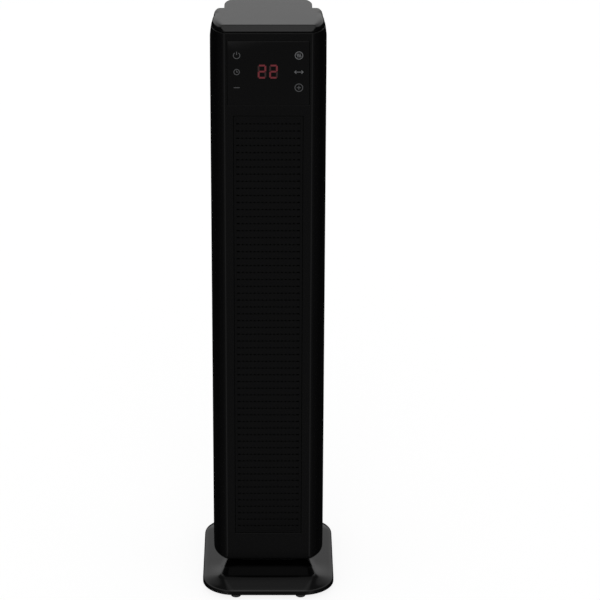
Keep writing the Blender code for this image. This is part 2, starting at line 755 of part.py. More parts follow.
def make_slide_ring():
    low, high = BASE_TOP + GAP, TOWER_BOTTOM - GAP
    bore = POST_RADIUS + RUNNING_GAP
    profile = [(bore, high), (SLIDE_RING_RADIUS, high), (SLIDE_RING_RADIUS, low), (bore, low)]
    mesh = turned_mesh("slide_ring", profile, loop=True)
    spin(new_part("slide_ring", mesh, BLACK_MATTE, place=(0, SWING_Y, 0)))


def tooth_flank(teeth, steps=3):
    """Involute points of one tooth's right flank, as (angle from the tooth's middle, radius)."""
    pitch = GEAR_MODULE * teeth / 2
    base = pitch * math.cos(PRESSURE_ANGLE)
    root = pitch - GEAR_MODULE - GEAR_TIP_CLEARANCE
    tip = pitch + GEAR_MODULE - GEAR_TIP_CLEARANCE
    half_width = math.pi / (2 * teeth) - GEAR_BACKLASH / (2 * pitch)
    at_pitch = math.tan(PRESSURE_ANGLE) - PRESSURE_ANGLE
    points = [(half_width + at_pitch, root)] if root < base else []
    for radius in np.linspace(max(base, root), tip, steps + 1):
        roll = math.acos(min(1, base / radius))
        points.append((half_width + at_pitch - (math.tan(roll) - roll), float(radius)))
    return points


def gear_outline(teeth, middle, spread):
    """Teeth centred on one angle and spread each side of it, and a plain rim elsewhere."""
    flank = tooth_flank(teeth)
    step = 2 * math.pi / teeth
    each_side = int(spread / step)
    numbers = range(-each_side, each_side + 1) if spread < math.pi else range(teeth)
    points = []
    for number in numbers:
        centre = middle + number * step
        rising = [(centre - angle, radius) for angle, radius in flank]
        falling = [(centre + angle, radius) for angle, radius in reversed(flank)]
        points += rising + falling
    if spread < math.pi:
        start, end = points[-1][0], points[0][0] + 2 * math.pi
        points += [(angle, flank[0][1]) for angle in np.linspace(start, end, ROUND_STEPS)[1:-1]]
    return [(radius * math.cos(angle), radius * math.sin(angle)) for angle, radius in points]


def make_fixed_gear():
    outline = gear_outline(GEAR_TEETH, math.pi / 2, GEAR_SECTOR)
    mesh = prism_mesh("fixed_gear", outline, GEAR_BOTTOM, GEAR_TOP)
    place = (0, SWING_Y, 0)
    part = new_part("fixed_gear", mesh, WHITE_NYLON, place=place)
    bore = (SPIGOT_RADIUS + GAP, (0, 0, GEAR_BOTTOM - OVERRUN), (0, 0, GEAR_TOP + OVERRUN))
    cut(part, new_tool("gear_bore", rod_mesh("gear_bore", bore), place=place))
    # The gear sits on the post's step, so its underside is lifted clear of it
    step = (POST_RADIUS + GAP, (0, 0, GEAR_BOTTOM - OVERRUN), (0, 0, GEAR_BOTTOM + GAP))
    cut(part, new_tool("gear_step", rod_mesh("gear_step", step), place=place))


def make_post_clip():
    low = GEAR_TOP + GAP
    high = low + CLIP_THICKNESS
    bore = SPIGOT_RADIUS + GAP
    profile = [(bore, high), (CLIP_RADIUS, high), (CLIP_RADIUS, low), (bore, low)]
    place = (0, SWING_Y, 0)
    mesh = turned_mesh("post_clip", profile, loop=True)
    part = spin(new_part("post_clip", mesh, STEEL, place=place))
    half = CLIP_MOUTH / 2
    mouth = ((-half, -CLIP_RADIUS - OVERRUN, low - OVERRUN), (half, 0, high + OVERRUN))
    cut(part, new_tool("clip_mouth", box_mesh("clip_mouth", mouth), place=place))


def make_tip_switch():
    flange_low = PLATE_TOP + PLUNGER_TRAVEL + GAP
    flange_high = flange_low + PLUNGER_FLANGE_THICKNESS
    axis = new_axis("tip_plunger_axis", (0, PLUNGER_Y, 0))
    profile = [
        (0, flange_high), (PLUNGER_FLANGE_RADIUS, flange_high), (PLUNGER_FLANGE_RADIUS, flange_low),
        (PLUNGER_RADIUS, flange_low), (PLUNGER_RADIUS, PLUNGER_LIFT + FOOT_CHAMFER),
        (PLUNGER_RADIUS - FOOT_CHAMFER, PLUNGER_LIFT), (0, PLUNGER_LIFT),
    ]
    spin(new_part("tip_plunger", turned_mesh("tip_plunger", profile), WHITE_NYLON, axis))
    low = flange_high + 2 * GAP
    body = box_mesh("tip_switch", (
        (-SWITCH_LENGTH / 2, PLUNGER_Y - SWITCH_WIDTH / 2, low),
        (SWITCH_LENGTH / 2, PLUNGER_Y + SWITCH_WIDTH / 2, low + SWITCH_HEIGHT),
    ))
    new_part("tip_switch", body, BLACK_MATTE)


# Tower shells

def make_front_shell(tower):
    line = front_shell_line()
    levels = (
        (TOWER_BOTTOM, HEM_INSET), (TOWER_BOTTOM + HEM_HEIGHT / 3, HEM_INSET / 4),
        (TOWER_BOTTOM + HEM_HEIGHT, 0), (SHELL_TOP - SHOULDER_HEIGHT, 0),
        (SHELL_TOP - SHOULDER_HEIGHT / 2, SHOULDER_INSET / 4),
        (SHELL_TOP - SHOULDER_HEIGHT / 8, SHOULDER_INSET * 2 / 3), (SHELL_TOP, SHOULDER_INSET),
    )
    rings = [(inset(line, inward, closed=False), z) for z, inward in levels]
    part = new_part("front_shell", loft_mesh("front_shell", rings, closed=False), BLACK_GLOSS, tower)
    thicken(part, WALL)
    near, far = -TOWER_FRONT - OVERRUN, -TOWER_FRONT + WALL + OVERRUN
    windows = (
        ((-OUTLET_HALF_WIDTH, near, OUTLET_LOW), (OUTLET_HALF_WIDTH, far, OUTLET_HIGH)),
        ((-PANEL_HALF_WIDTH, near, PANEL_LOW), (PANEL_HALF_WIDTH, far, PANEL_HIGH)),
    )
    cut(part, new_tool("front_windows", box_mesh("front_windows", *windows), tower))


def make_grille(tower):
    front = -TOWER_FRONT + GRILLE_RECESS
    back = -TOWER_FRONT + WALL + GAP
    half = OUTLET_HALF_WIDTH - GAP
    low, high = OUTLET_LOW + GAP, OUTLET_HIGH - GAP
    flange = GRILLE_BORDER - GAP
    insert = ((-half, front, low), (half, back + PANEL_FLANGE_THICKNESS, high))
    rim = (
        (-half - flange, back, low - flange),
        (half + flange, back + PANEL_FLANGE_THICKNESS, high + flange),
    )
    part = new_part("outlet_grille", box_mesh("outlet_grille", insert), BLACK_MATTE, tower)
    join(part, new_tool("grille_rim", box_mesh("grille_rim", rim), tower))
    span = high - low - 2 * GRILLE_BORDER
    count = round(span / GRILLE_PITCH - 0.5)
    first = (high + low) / 2 - (count - 1) * GRILLE_PITCH / 2
    slots = []
    for number in range(count):
        middle = first + number * GRILLE_PITCH
        # Only the slots between the decks go through; the others are blind grooves
        open_slot = DECK_TOP < middle - GRILLE_SLOT and middle + GRILLE_SLOT < BEARING_DECK_Z
        floor = back + OVERRUN if open_slot else -TOWER_FRONT + WALL
        slots.append((
            (-half + GRILLE_BORDER, front - OVERRUN, middle - GRILLE_SLOT / 2),
            (half - GRILLE_BORDER, floor, middle + GRILLE_SLOT / 2),
        ))
    cut(part, new_tool("grille_slots", box_mesh("grille_slots", *slots), tower))


def make_panel(tower):
    back = -TOWER_FRONT + WALL + GAP
    half = PANEL_HALF_WIDTH - GAP
    low, high = PANEL_LOW + GAP, PANEL_HIGH - GAP
    face = ((-half, -TOWER_FRONT, low), (half, PANEL_BACK, high))
    rim = ((-half - PANEL_FLANGE, back, low - PANEL_FLANGE), (half + PANEL_FLANGE, PANEL_BACK, high))
    part = new_part("control_panel", box_mesh("control_panel", face), SMOKED_PANEL, tower)
    join(part, new_tool("panel_rim", box_mesh("panel_rim", rim), tower))


def rear_wall(name, levels, tower):
    line = rear_shell_line()
    rings = [(inset(line, inward, closed=False), z) for z, inward in levels]
    part = new_part(name, loft_mesh(name, rings, closed=False), BLACK_TEXTURED, tower)
    thicken(part, WALL)
    return part


def make_rear_hood(tower):
    """The top of the rear housing, with the window for the grip cup."""
    levels = (
        (HOOD_LOW, 0), (SHELL_TOP - SHOULDER_HEIGHT, 0),
        (SHELL_TOP - SHOULDER_HEIGHT / 4, SHOULDER_INSET / 3), (SHELL_TOP, SHOULDER_INSET),
    )
    part = rear_wall("rear_hood", levels, tower)
    grip = (
        (-GRIP_HALF_WIDTH - GAP, TOWER_REAR - GRIP_DEPTH, GRIP_LOW - GAP),
        (GRIP_HALF_WIDTH + GAP, TOWER_REAR + OVERRUN, GRIP_HIGH + GAP),
    )
    cut(part, new_tool("grip_window", box_mesh("grip_window", grip), tower))


def make_rear_shell(tower):
    levels = ((TOWER_BOTTOM, HEM_INSET), (TOWER_BOTTOM + HEM_HEIGHT, 0), (HOOD_LOW - GAP, 0))
    part = rear_wall("rear_shell", levels, tower)
    outer, inner = TOWER_REAR + OVERRUN, TOWER_REAR - WALL
    wells = [(WELL_RADIUS, (x, TOWER_REAR - WALL / 2, z), (x, TOWER_REAR - WELL_DEPTH, z))
             for x, z in rear_screw_places()]
    join(part, new_tool("well_tubes", rod_mesh("well_tubes", *wells, steps=SMALL_STEPS), tower))
    floor = TOWER_REAR - WELL_DEPTH + WELL_FLOOR
    bores = [(WELL_BORE, (x, outer, z), (x, floor, z)) for x, z in rear_screw_places()]
    shanks = [(SCREW_RADIUS + GAP, (x, outer, z), (x, floor - WELL_FLOOR - OVERRUN, z))
              for x, z in rear_screw_places()]
    cut(part, new_tool("well_bores", rod_mesh("well_bores", *bores, steps=SMALL_STEPS), tower))
    cut(part, new_tool("well_shanks", rod_mesh("well_shanks", *shanks, steps=SMALL_STEPS), tower))
    half_width = ROCKER_HALF_WIDTH + ROCKER_CLEARANCE + ROCKER_FRAME + GAP
    half_height = ROCKER_HALF_HEIGHT + ROCKER_CLEARANCE + ROCKER_FRAME + GAP
    rocker = (
        (-half_width, inner - OVERRUN, ROCKER_Z - half_height),
        (half_width, outer, ROCKER_Z + half_height),
    )
    cut(part, new_tool("rocker_window", box_mesh("rocker_window", rocker), tower))
    gland = (GLAND_RADIUS + GAP, (0, inner - OVERRUN, GLAND_Z), (0, outer, GLAND_Z))
    cut(part, new_tool("gland_hole", rod_mesh("gland_hole", gland), tower))
    cut(part, new_tool("intake_slots", box_mesh("intake_slots", *intake_slots()), tower))


def intake_slots():
    count = round((INTAKE_HIGH - INTAKE_LOW) / INTAKE_PITCH)
    slots = []
    for number in range(count):
        low = INTAKE_LOW + number * INTAKE_PITCH
        slots.append((
            (-INTAKE_HALF_WIDTH, TOWER_REAR - REAR_CORNER_RADIUS, low),
            (INTAKE_HALF_WIDTH, TOWER_REAR + OVERRUN, low + INTAKE_SLOT),
        ))
    return slots


def rear_screw_places():
    heights = (MOTOR_DECK_Z + DECK_THICKNESS / 2, BEARING_DECK_Z + DECK_THICKNESS / 2)
    return [(x, z) for z in heights for x in (-SCREW_X, SCREW_X)]


def make_rear_screws(tower):
    floor = TOWER_REAR - WELL_DEPTH + WELL_FLOOR
    head = floor + GAP + SCREW_HEAD_HEIGHT
    for number, (x, z) in enumerate(rear_screw_places(), 1):
        make_screw(
            f"rear_screw_{number}", SCREW_LENGTH, (x, head, z), turn=(math.pi / 2, 0, 0), parent=tower,
        )


def make_top_cap(tower):
    outline = tower_outline()
    rings = [(inset(outline, CAP_INSET), CAP_BOTTOM)]
    for share in (0, 1 / 3, 2 / 3, 1):
        turn = share * math.pi / 2
        inward = CAP_INSET + CAP_ROUND * (1 - math.cos(turn))
        rings.append((inset(outline, inward), TOTAL_HEIGHT - CAP_ROUND * (1 - math.sin(turn))))
    part = new_part("top_cap", loft_mesh("top_cap", rings), BLACK_GLOSS, tower)
    foot = CAP_BOTTOM - CAP_NECK_DEPTH
    play = SHOULDER_INSET + GAP
    neck = prism_mesh("cap_neck", room_outline(play), foot, CAP_BOTTOM + WALL / 2)
    join(part, new_tool("cap_neck", neck, tower))
    roof = TOTAL_HEIGHT - WALL - CAP_ROUND
    hollow = prism_mesh("cap_hollow", room_outline(play + WALL), foot - OVERRUN, roof)
    cut(part, new_tool("cap_hollow", hollow, tower))
    # The front edge is planed off, from the top down to the seam
    front = -TOWER_FRONT
    wedge = [
        (front - OVERRUN, TOTAL_HEIGHT - CAP_CHAMFER_DROP - OVERRUN * CAP_CHAMFER_DROP / CAP_CHAMFER_DEPTH),
        (front + CAP_CHAMFER_DEPTH + OVERRUN,
         TOTAL_HEIGHT + OVERRUN * CAP_CHAMFER_DROP / CAP_CHAMFER_DEPTH),
        (front - OVERRUN, TOTAL_HEIGHT + OVERRUN * CAP_CHAMFER_DROP / CAP_CHAMFER_DEPTH),
    ]
    plane = prism_mesh("cap_chamfer", wedge, -TOWER_HALF_WIDTH, TOWER_HALF_WIDTH)
    # The outline is drawn in (y, z) and stands along x
    plane.transform(Matrix(((0, 0, 1, 0), (1, 0, 0, 0), (0, 1, 0, 0), (0, 0, 0, 1))))
    cut(part, new_tool("cap_chamfer", plane, tower))


def make_grip_cup(tower):
    line = [(x, y) for x, y in rear_shell_line()]
    block = ((-GRIP_HALF_WIDTH, TOWER_REAR - GRIP_DEPTH + GAP, GRIP_LOW),
             (GRIP_HALF_WIDTH, TOWER_REAR + OVERRUN, GRIP_HIGH))
    part = new_part("grip_cup", box_mesh("grip_cup", block), BLACK_MATTE, tower)
    trim = new_tool(
        "grip_trim",
        prism_mesh("grip_trim", line, GRIP_LOW - OVERRUN, GRIP_HIGH + OVERRUN), tower,
    )
    combine(part, "INTERSECT", trim)
    hollow = (
        (-GRIP_HALF_WIDTH + GRIP_WALL, TOWER_REAR - GRIP_DEPTH + GAP + GRIP_WALL, GRIP_LOW + GRIP_WALL),
        (GRIP_HALF_WIDTH - GRIP_WALL, TOWER_REAR + 2 * OVERRUN, GRIP_HIGH - GRIP_WALL),
    )
    cut(part, new_tool("grip_hollow", box_mesh("grip_hollow", hollow), tower))


def make_chassis(tower):
    outline = room_outline(HEM_INSET + GAP)
    mesh = prism_mesh("tower_chassis", outline, TOWER_BOTTOM, CHASSIS_TOP)
    part = new_part("tower_chassis", mesh, BLACK_MATTE, tower)
    reach = SWING_MOTOR_RADIUS + SWING_EAR_REACH / 2
    posts = [
        (SWING_POST_RADIUS, (side * reach, GEAR_CENTRES, TOWER_BOTTOM + CHASSIS_THICKNESS / 2),
         (side * reach, GEAR_CENTRES, SWING_MOTOR_BOTTOM - GAP))
        for side in (-1, 1)
    ]
    join(part, new_tool("motor_posts", rod_mesh("motor_posts", *posts, steps=SMALL_STEPS), tower))
    hole = (POST_RADIUS + RUNNING_GAP, (0, 0, TOWER_BOTTOM - OVERRUN), (0, 0, CHASSIS_TOP + OVERRUN))
    cut(part, new_tool("chassis_hole", rod_mesh("chassis_hole", hole), tower))


# Touch panel electronics

def make_panel_electronics(tower):
    low, high = PANEL_LOW + BOARD_MARGIN, PANEL_HIGH - BOARD_MARGIN
    board = ((-BOARD_HALF_WIDTH, BOARD_FRONT, low), (BOARD_HALF_WIDTH, BOARD_BACK, high))
    new_part("control_board", box_mesh("control_board", board), BOARD_GREEN, tower)
    near, far = PANEL_BACK + GAP, BOARD_FRONT - GAP
    display = (
        (-DISPLAY_WIDTH / 2, near, DISPLAY_Z - DISPLAY_HEIGHT / 2),
        (DISPLAY_WIDTH / 2, far, DISPLAY_Z + DISPLAY_HEIGHT / 2),
    )
    new_part("led_display", box_mesh("led_display", display), DISPLAY_DARK, tower)
    receiver = (
        (RECEIVER_X - RECEIVER_WIDTH / 2, near, RECEIVER_Z - RECEIVER_HEIGHT / 2),
        (RECEIVER_X + RECEIVER_WIDTH / 2, far, RECEIVER_Z + RECEIVER_HEIGHT / 2),
    )
    new_part("ir_receiver", box_mesh("ir_receiver", receiver), BLACK_GLOSS, tower)
    places = [(x, z) for x in (-KEY_X, KEY_X) for z in KEY_HEIGHTS]
    for number, (x, z) in enumerate(places, 1):
        name = f"touch_spring_{number}"
        rod = rod_mesh(name, (KEY_RADIUS, (x, near, z), (x, far, z)), steps=SMALL_STEPS)
        new_part(name, rod, STEEL, tower)
    buzzer = (
        BUZZER_RADIUS, (BUZZER_X, BOARD_BACK + GAP, DISPLAY_Z),
        (BUZZER_X, BOARD_BACK + GAP + BUZZER_HEIGHT, DISPLAY_Z),
    )
    new_part("buzzer", rod_mesh("buzzer", buzzer, steps=SMALL_STEPS), BLACK_MATTE, tower)


# Fan

def make_deck(name, level, bore, tower):
    mesh = prism_mesh(name, room_outline(GAP), level, level + DECK_THICKNESS)
    part = new_part(name, mesh, BLACK_MATTE, tower)
    middle = level + DECK_THICKNESS / 2
    end = TOWER_REAR - WELL_DEPTH - GAP
    start = end - DECK_BOSS_LENGTH
    bosses = [(DECK_BOSS_RADIUS, (x, start, middle), (x, end, middle)) for x in (-SCREW_X, SCREW_X)]
    join(part, new_tool(f"{name}_bosses", rod_mesh(f"{name}_bosses", *bosses, steps=SMALL_STEPS), tower))
    wells = [
        (WELL_RADIUS + GAP, (x, end, middle), (x, TOWER_REAR + OVERRUN, middle))
        for x in (-SCREW_X, SCREW_X)
    ]
    holes = [
        (SCREW_RADIUS + GAP, (x, start - OVERRUN, middle), (x, end + OVERRUN, middle))
        for x in (-SCREW_X, SCREW_X)
    ]
    cut(part, new_tool(f"{name}_wells", rod_mesh(f"{name}_wells", *wells, steps=SMALL_STEPS), tower))
    cut(part, new_tool(f"{name}_holes", rod_mesh(f"{name}_holes", *holes, steps=SMALL_STEPS), tower))
    under, over = level - OVERRUN, level + DECK_THICKNESS + OVERRUN
    hole = (bore, (0, WHEEL_Y, under), (0, WHEEL_Y, over))
    cut(part, new_tool(f"{name}_bore", rod_mesh(f"{name}_bore", hole), tower))
    # The grille's rim rests in a notch in the front edge
    half = OUTLET_HALF_WIDTH + GRILLE_BORDER + GAP
    notch = ((-half, -TOWER_FRONT, under), (half, PANEL_BACK + GAP, over))
    cut(part, new_tool(f"{name}_notch", box_mesh(f"{name}_notch", notch), tower))


def make_wheel(tower):
    axis = new_axis("blower_axis", (0, WHEEL_Y, 0), tower)
    bottom = MOTOR_TOP - SHAFT_ENGAGEMENT
    top = BEARING_DECK_TOP + BEARING_FLANGE_THICKNESS + GAP
    shaft = rod_mesh("blower_wheel", (SHAFT_RADIUS, (0, 0, bottom), (0, 0, top)))
    part = new_part("blower_wheel", shaft, BLACK_MATTE, axis)
    discs = []
    for number in range(WHEEL_DISCS):
        share = number / (WHEEL_DISCS - 1)
        low = WHEEL_LOW + share * (WHEEL_HIGH - WHEEL_LOW - WHEEL_DISC)
        discs.append((WHEEL_RADIUS, (0, 0, low), (0, 0, low + WHEEL_DISC)))
    join(part, new_tool("wheel_discs", rod_mesh("wheel_discs", *discs, steps=2 * WHEEL_BLADES), axis))
    blades = bmesh.new()
    span = WHEEL_HIGH - WHEEL_LOW - WHEEL_DISC
    middle = (WHEEL_LOW + WHEEL_HIGH) / 2
    for number in range(WHEEL_BLADES):
        around = Matrix.Rotation(2 * math.pi * number / WHEEL_BLADES, 4, "Z")
        out = Matrix.Translation((WHEEL_RADIUS - 0.62 * BLADE_DEPTH, 0, middle))
        pitch = Matrix.Rotation(BLADE_PITCH, 4, "Z")
        size = Matrix.Diagonal((BLADE_DEPTH, BLADE_THICKNESS, span, 1))
        bmesh.ops.create_cube(blades, size=1, matrix=around @ out @ pitch @ size)
    join(part, new_tool("wheel_blades", mesh_from(blades, "wheel_blades"), axis))


def make_blower_motor(tower):
    low = MOTOR_TOP - MOTOR_HEIGHT
    bore = SHAFT_RADIUS + GAP
    depth = MOTOR_TOP - SHAFT_ENGAGEMENT - GAP
    profile = [
        (0, depth), (bore, depth), (bore, MOTOR_TOP), (MOTOR_RADIUS, MOTOR_TOP),
        (MOTOR_RADIUS, low + MOTOR_END_HEIGHT), (MOTOR_END_RADIUS, low + MOTOR_END_HEIGHT),
        (MOTOR_END_RADIUS, low), (0, low),
    ]
    mesh = turned_mesh("blower_motor", profile)
    spin(new_part("blower_motor", mesh, STEEL, tower, (0, WHEEL_Y, 0)))


def make_bearing(tower):
    bore = SHAFT_RADIUS + GAP
    low = BEARING_DECK_Z
    shoulder = BEARING_DECK_TOP + GAP
    high = shoulder + BEARING_FLANGE_THICKNESS
    profile = [
        (bore, high), (BEARING_FLANGE_RADIUS, high), (BEARING_FLANGE_RADIUS, shoulder),
        (BEARING_RADIUS, shoulder), (BEARING_RADIUS, low), (bore, low),
    ]
    mesh = turned_mesh("upper_bearing", profile, loop=True)
    spin(new_part("upper_bearing", mesh, RUBBER, tower, (0, WHEEL_Y, 0)))


def wall_outline(line, thickness):
    """A line given a thickness to its left."""
    return line + inset(line, thickness, closed=False)[::-1]


def around_wheel(radius, angle):
    return (radius * math.cos(angle), WHEEL_Y + radius * math.sin(angle))


def make_air_channel(tower):
    low, high = DECK_TOP + GAP, BEARING_DECK_Z - GAP
    end = (-HEATER_HALF_WIDTH + DUCT_WALL, -HEATER_REAR + GAP)
    scroll = [
        around_wheel(radius, angle) for radius, angle in zip(
            np.linspace(SCROLL_START_RADIUS, SCROLL_END_RADIUS, 10),
            np.linspace(SCROLL_START, SCROLL_END, 10),
        )
    ]
    outline = wall_outline((scroll + [end])[::-1], DUCT_WALL)
    new_part("scroll_wall", prism_mesh("scroll_wall", outline, low, high), BLACK_MATTE, tower)
    nose = [around_wheel(NOSE_RADIUS, angle) for angle in np.linspace(NOSE_START, NOSE_END, 4)]
    outline = wall_outline(nose + [(-end[0], end[1])], DUCT_WALL)
    new_part("nose_wall", prism_mesh("nose_wall", outline, low, high), BLACK_MATTE, tower)


# Heater

def make_heater(tower):
    low, high = DECK_TOP + GAP, BEARING_DECK_Z - GAP
    block = (
        (-HEATER_HALF_WIDTH, -HEATER_FRONT, low), (HEATER_HALF_WIDTH, -HEATER_REAR, high),
    )
    part = new_part("heater_frame", box_mesh("heater_frame", block), MICA_PLASTIC, tower)
    half = HEATER_HALF_WIDTH - HEATER_WALL
    bay = (high - low - 3 * HEATER_WALL) / 2
    bays = [low + HEATER_WALL, low + 2 * HEATER_WALL + bay]
    windows = [
        ((-half, -HEATER_FRONT - OVERRUN, start), (half, -HEATER_REAR + OVERRUN, start + bay))
        for start in bays
    ]
    cut(part, new_tool("heater_windows", box_mesh("heater_windows", *windows), tower))
    for name, start in zip(("ptc_core_lower", "ptc_core_upper"), bays):
        make_core(name, half - GAP, start + GAP, start + bay - GAP, tower)
    side = HEATER_HALF_WIDTH + GAP
    middle = -(HEATER_FRONT + HEATER_REAR) / 2
    disc = (THERMOSTAT_RADIUS, (side, middle, THERMOSTAT_Z), (side + THERMOSTAT_HEIGHT, middle, THERMOSTAT_Z))
    new_part("thermostat", rod_mesh("thermostat", disc), ALUMINIUM, tower)
    fuse_x = -side - FUSE_RADIUS
    fuse = (
        FUSE_RADIUS, (fuse_x, middle, FUSE_Z - FUSE_LENGTH / 2), (fuse_x, middle, FUSE_Z + FUSE_LENGTH / 2),
    )
    new_part("thermal_fuse", rod_mesh("thermal_fuse", fuse, steps=SMALL_STEPS), ALUMINIUM, tower)


def make_core(name, half, low, high, tower):
    """A heating core: rails up both sides and the middle, with fins between them."""
    front, rear = -HEATER_FRONT + CORE_INSET, -HEATER_REAR - CORE_INSET
    block = ((-half, front, low), (half, rear, high))
    part = new_part(name, box_mesh(name, block), ALUMINIUM, tower)
    pitch = (high - low - CORE_FIN) / CORE_FINS
    slots = []
    for number in range(CORE_FINS):
        start = low + CORE_FIN + number * pitch
        for ends in ((-half + CORE_RAIL, -CORE_RAIL / 2), (CORE_RAIL / 2, half - CORE_RAIL)):
            slots.append((
                (ends[0], front - OVERRUN, start), (ends[1], rear + OVERRUN, start + pitch - CORE_FIN),
            ))
    cut(part, new_tool(f"{name}_slots", box_mesh(f"{name}_slots", *slots), tower))


# Tower foot: swing drive and power board

def make_swing_drive(tower):
    axis = new_axis("pinion_axis", (0, GEAR_CENTRES, 0), tower)
    # A tooth gap of the pinion faces the fixed gear's middle tooth
    half_tooth = math.pi / PINION_TEETH
    outline = gear_outline(PINION_TEETH, half_tooth - math.pi / 2, math.pi)
    mesh = prism_mesh("swing_pinion", outline, GEAR_BOTTOM, GEAR_TOP)
    pinion = new_part("swing_pinion", mesh, WHITE_NYLON, axis)
    stub = (PINION_BORE_STUB, (0, 0, GEAR_BOTTOM + GAP), (0, 0, SWING_MOTOR_BOTTOM - GAP))
    join(pinion, new_tool("pinion_stub", rod_mesh("pinion_stub", stub, steps=SMALL_STEPS), axis))
    low, high = SWING_MOTOR_BOTTOM, SWING_MOTOR_BOTTOM + SWING_MOTOR_HEIGHT
    can = (SWING_MOTOR_RADIUS, (0, GEAR_CENTRES, low), (0, GEAR_CENTRES, high))
    motor = new_part("swing_motor", rod_mesh("swing_motor", can), STEEL, tower)
    reach = SWING_MOTOR_RADIUS + SWING_EAR_REACH
    ears = (
        (-reach, GEAR_CENTRES - SWING_EAR_WIDTH / 2, low),
        (reach, GEAR_CENTRES + SWING_EAR_WIDTH / 2, low + SWING_EAR_THICKNESS),
    )
    join(motor, new_tool("swing_ears", box_mesh("swing_ears", ears), tower))


def make_power_board(tower):
    low = CHASSIS_TOP + GAP
    back = POWER_BOARD_Y + BOARD_THICKNESS
    board = (
        (-POWER_BOARD_HALF_WIDTH, POWER_BOARD_Y, low),
        (POWER_BOARD_HALF_WIDTH, back, low + POWER_BOARD_HEIGHT),
    )
    part = new_part("power_board", box_mesh("power_board", board), BOARD_GREEN, tower)
    inside = back - BOARD_THICKNESS / 2
    relay_low = low + POWER_BOARD_HEIGHT / 2
    spread = POWER_BOARD_HALF_WIDTH / 2
    blocks = [
        ((x - RELAY_WIDTH / 2, inside, relay_low), (x + RELAY_WIDTH / 2, back + RELAY_DEPTH, relay_low + RELAY_HEIGHT))
        for x in (-spread, spread)
    ]
    foot = low + POWER_BOARD_HEIGHT / 8
    blocks.append((
        (-TRANSFORMER_WIDTH / 2, inside, foot),
        (TRANSFORMER_WIDTH / 2, back + RELAY_DEPTH, foot + TRANSFORMER_HEIGHT),
    ))
    join(part, new_tool("board_blocks", box_mesh("board_blocks", *blocks), tower))


# Rear details

def make_filter(tower):
    centre = (REAR_HALF_WIDTH - REAR_CORNER_RADIUS, TOWER_REAR - REAR_CORNER_RADIUS)
    start = math.acos((INTAKE_HALF_WIDTH + FILTER_BORDER - centre[0]) / REAR_CORNER_RADIUS)
    right = arc(centre, REAR_CORNER_RADIUS, start, math.pi / 2, 4)
    line = inset(mirrored(right), WALL + 2 * GAP, closed=False)
    low, high = INTAKE_LOW - FILTER_BORDER, INTAKE_HIGH + FILTER_BORDER
    sheet = prism_mesh("filter_screen", wall_outline(line, FILTER_THICKNESS / 2), low, high)
    part = new_part("filter_screen", sheet, FILTER_MESH, tower)
    pitch = (high - low - FILTER_BORDER - 2 * GAP) / FILTER_BARS
    inner = inset(line, FILTER_THICKNESS / 4, closed=False)
    for number in range(FILTER_BARS + 1):
        start = low + GAP + number * pitch
        name = f"filter_bar_{number}"
        bar = prism_mesh(name, wall_outline(inner, FILTER_THICKNESS), start, start + FILTER_BORDER)
        join(part, new_tool(name, bar, tower))


def make_gland(tower):
    top = GLAND_FLANGE_THICKNESS
    low = -WALL - GLAND_DEPTH
    profile = [
        (GLAND_BORE, top), (GLAND_FLANGE_RADIUS - top / 2, top), (GLAND_FLANGE_RADIUS, GAP + top / 3),
        (GLAND_FLANGE_RADIUS, GAP), (GLAND_RADIUS, GAP), (GLAND_RADIUS, low), (GLAND_BORE, low),
    ]
    mesh = turned_mesh("cord_gland", profile, loop=True)
    part = new_part("cord_gland", mesh, RUBBER, tower, (0, TOWER_REAR, GLAND_Z), (-math.pi / 2, 0, 0))
    spin(part)


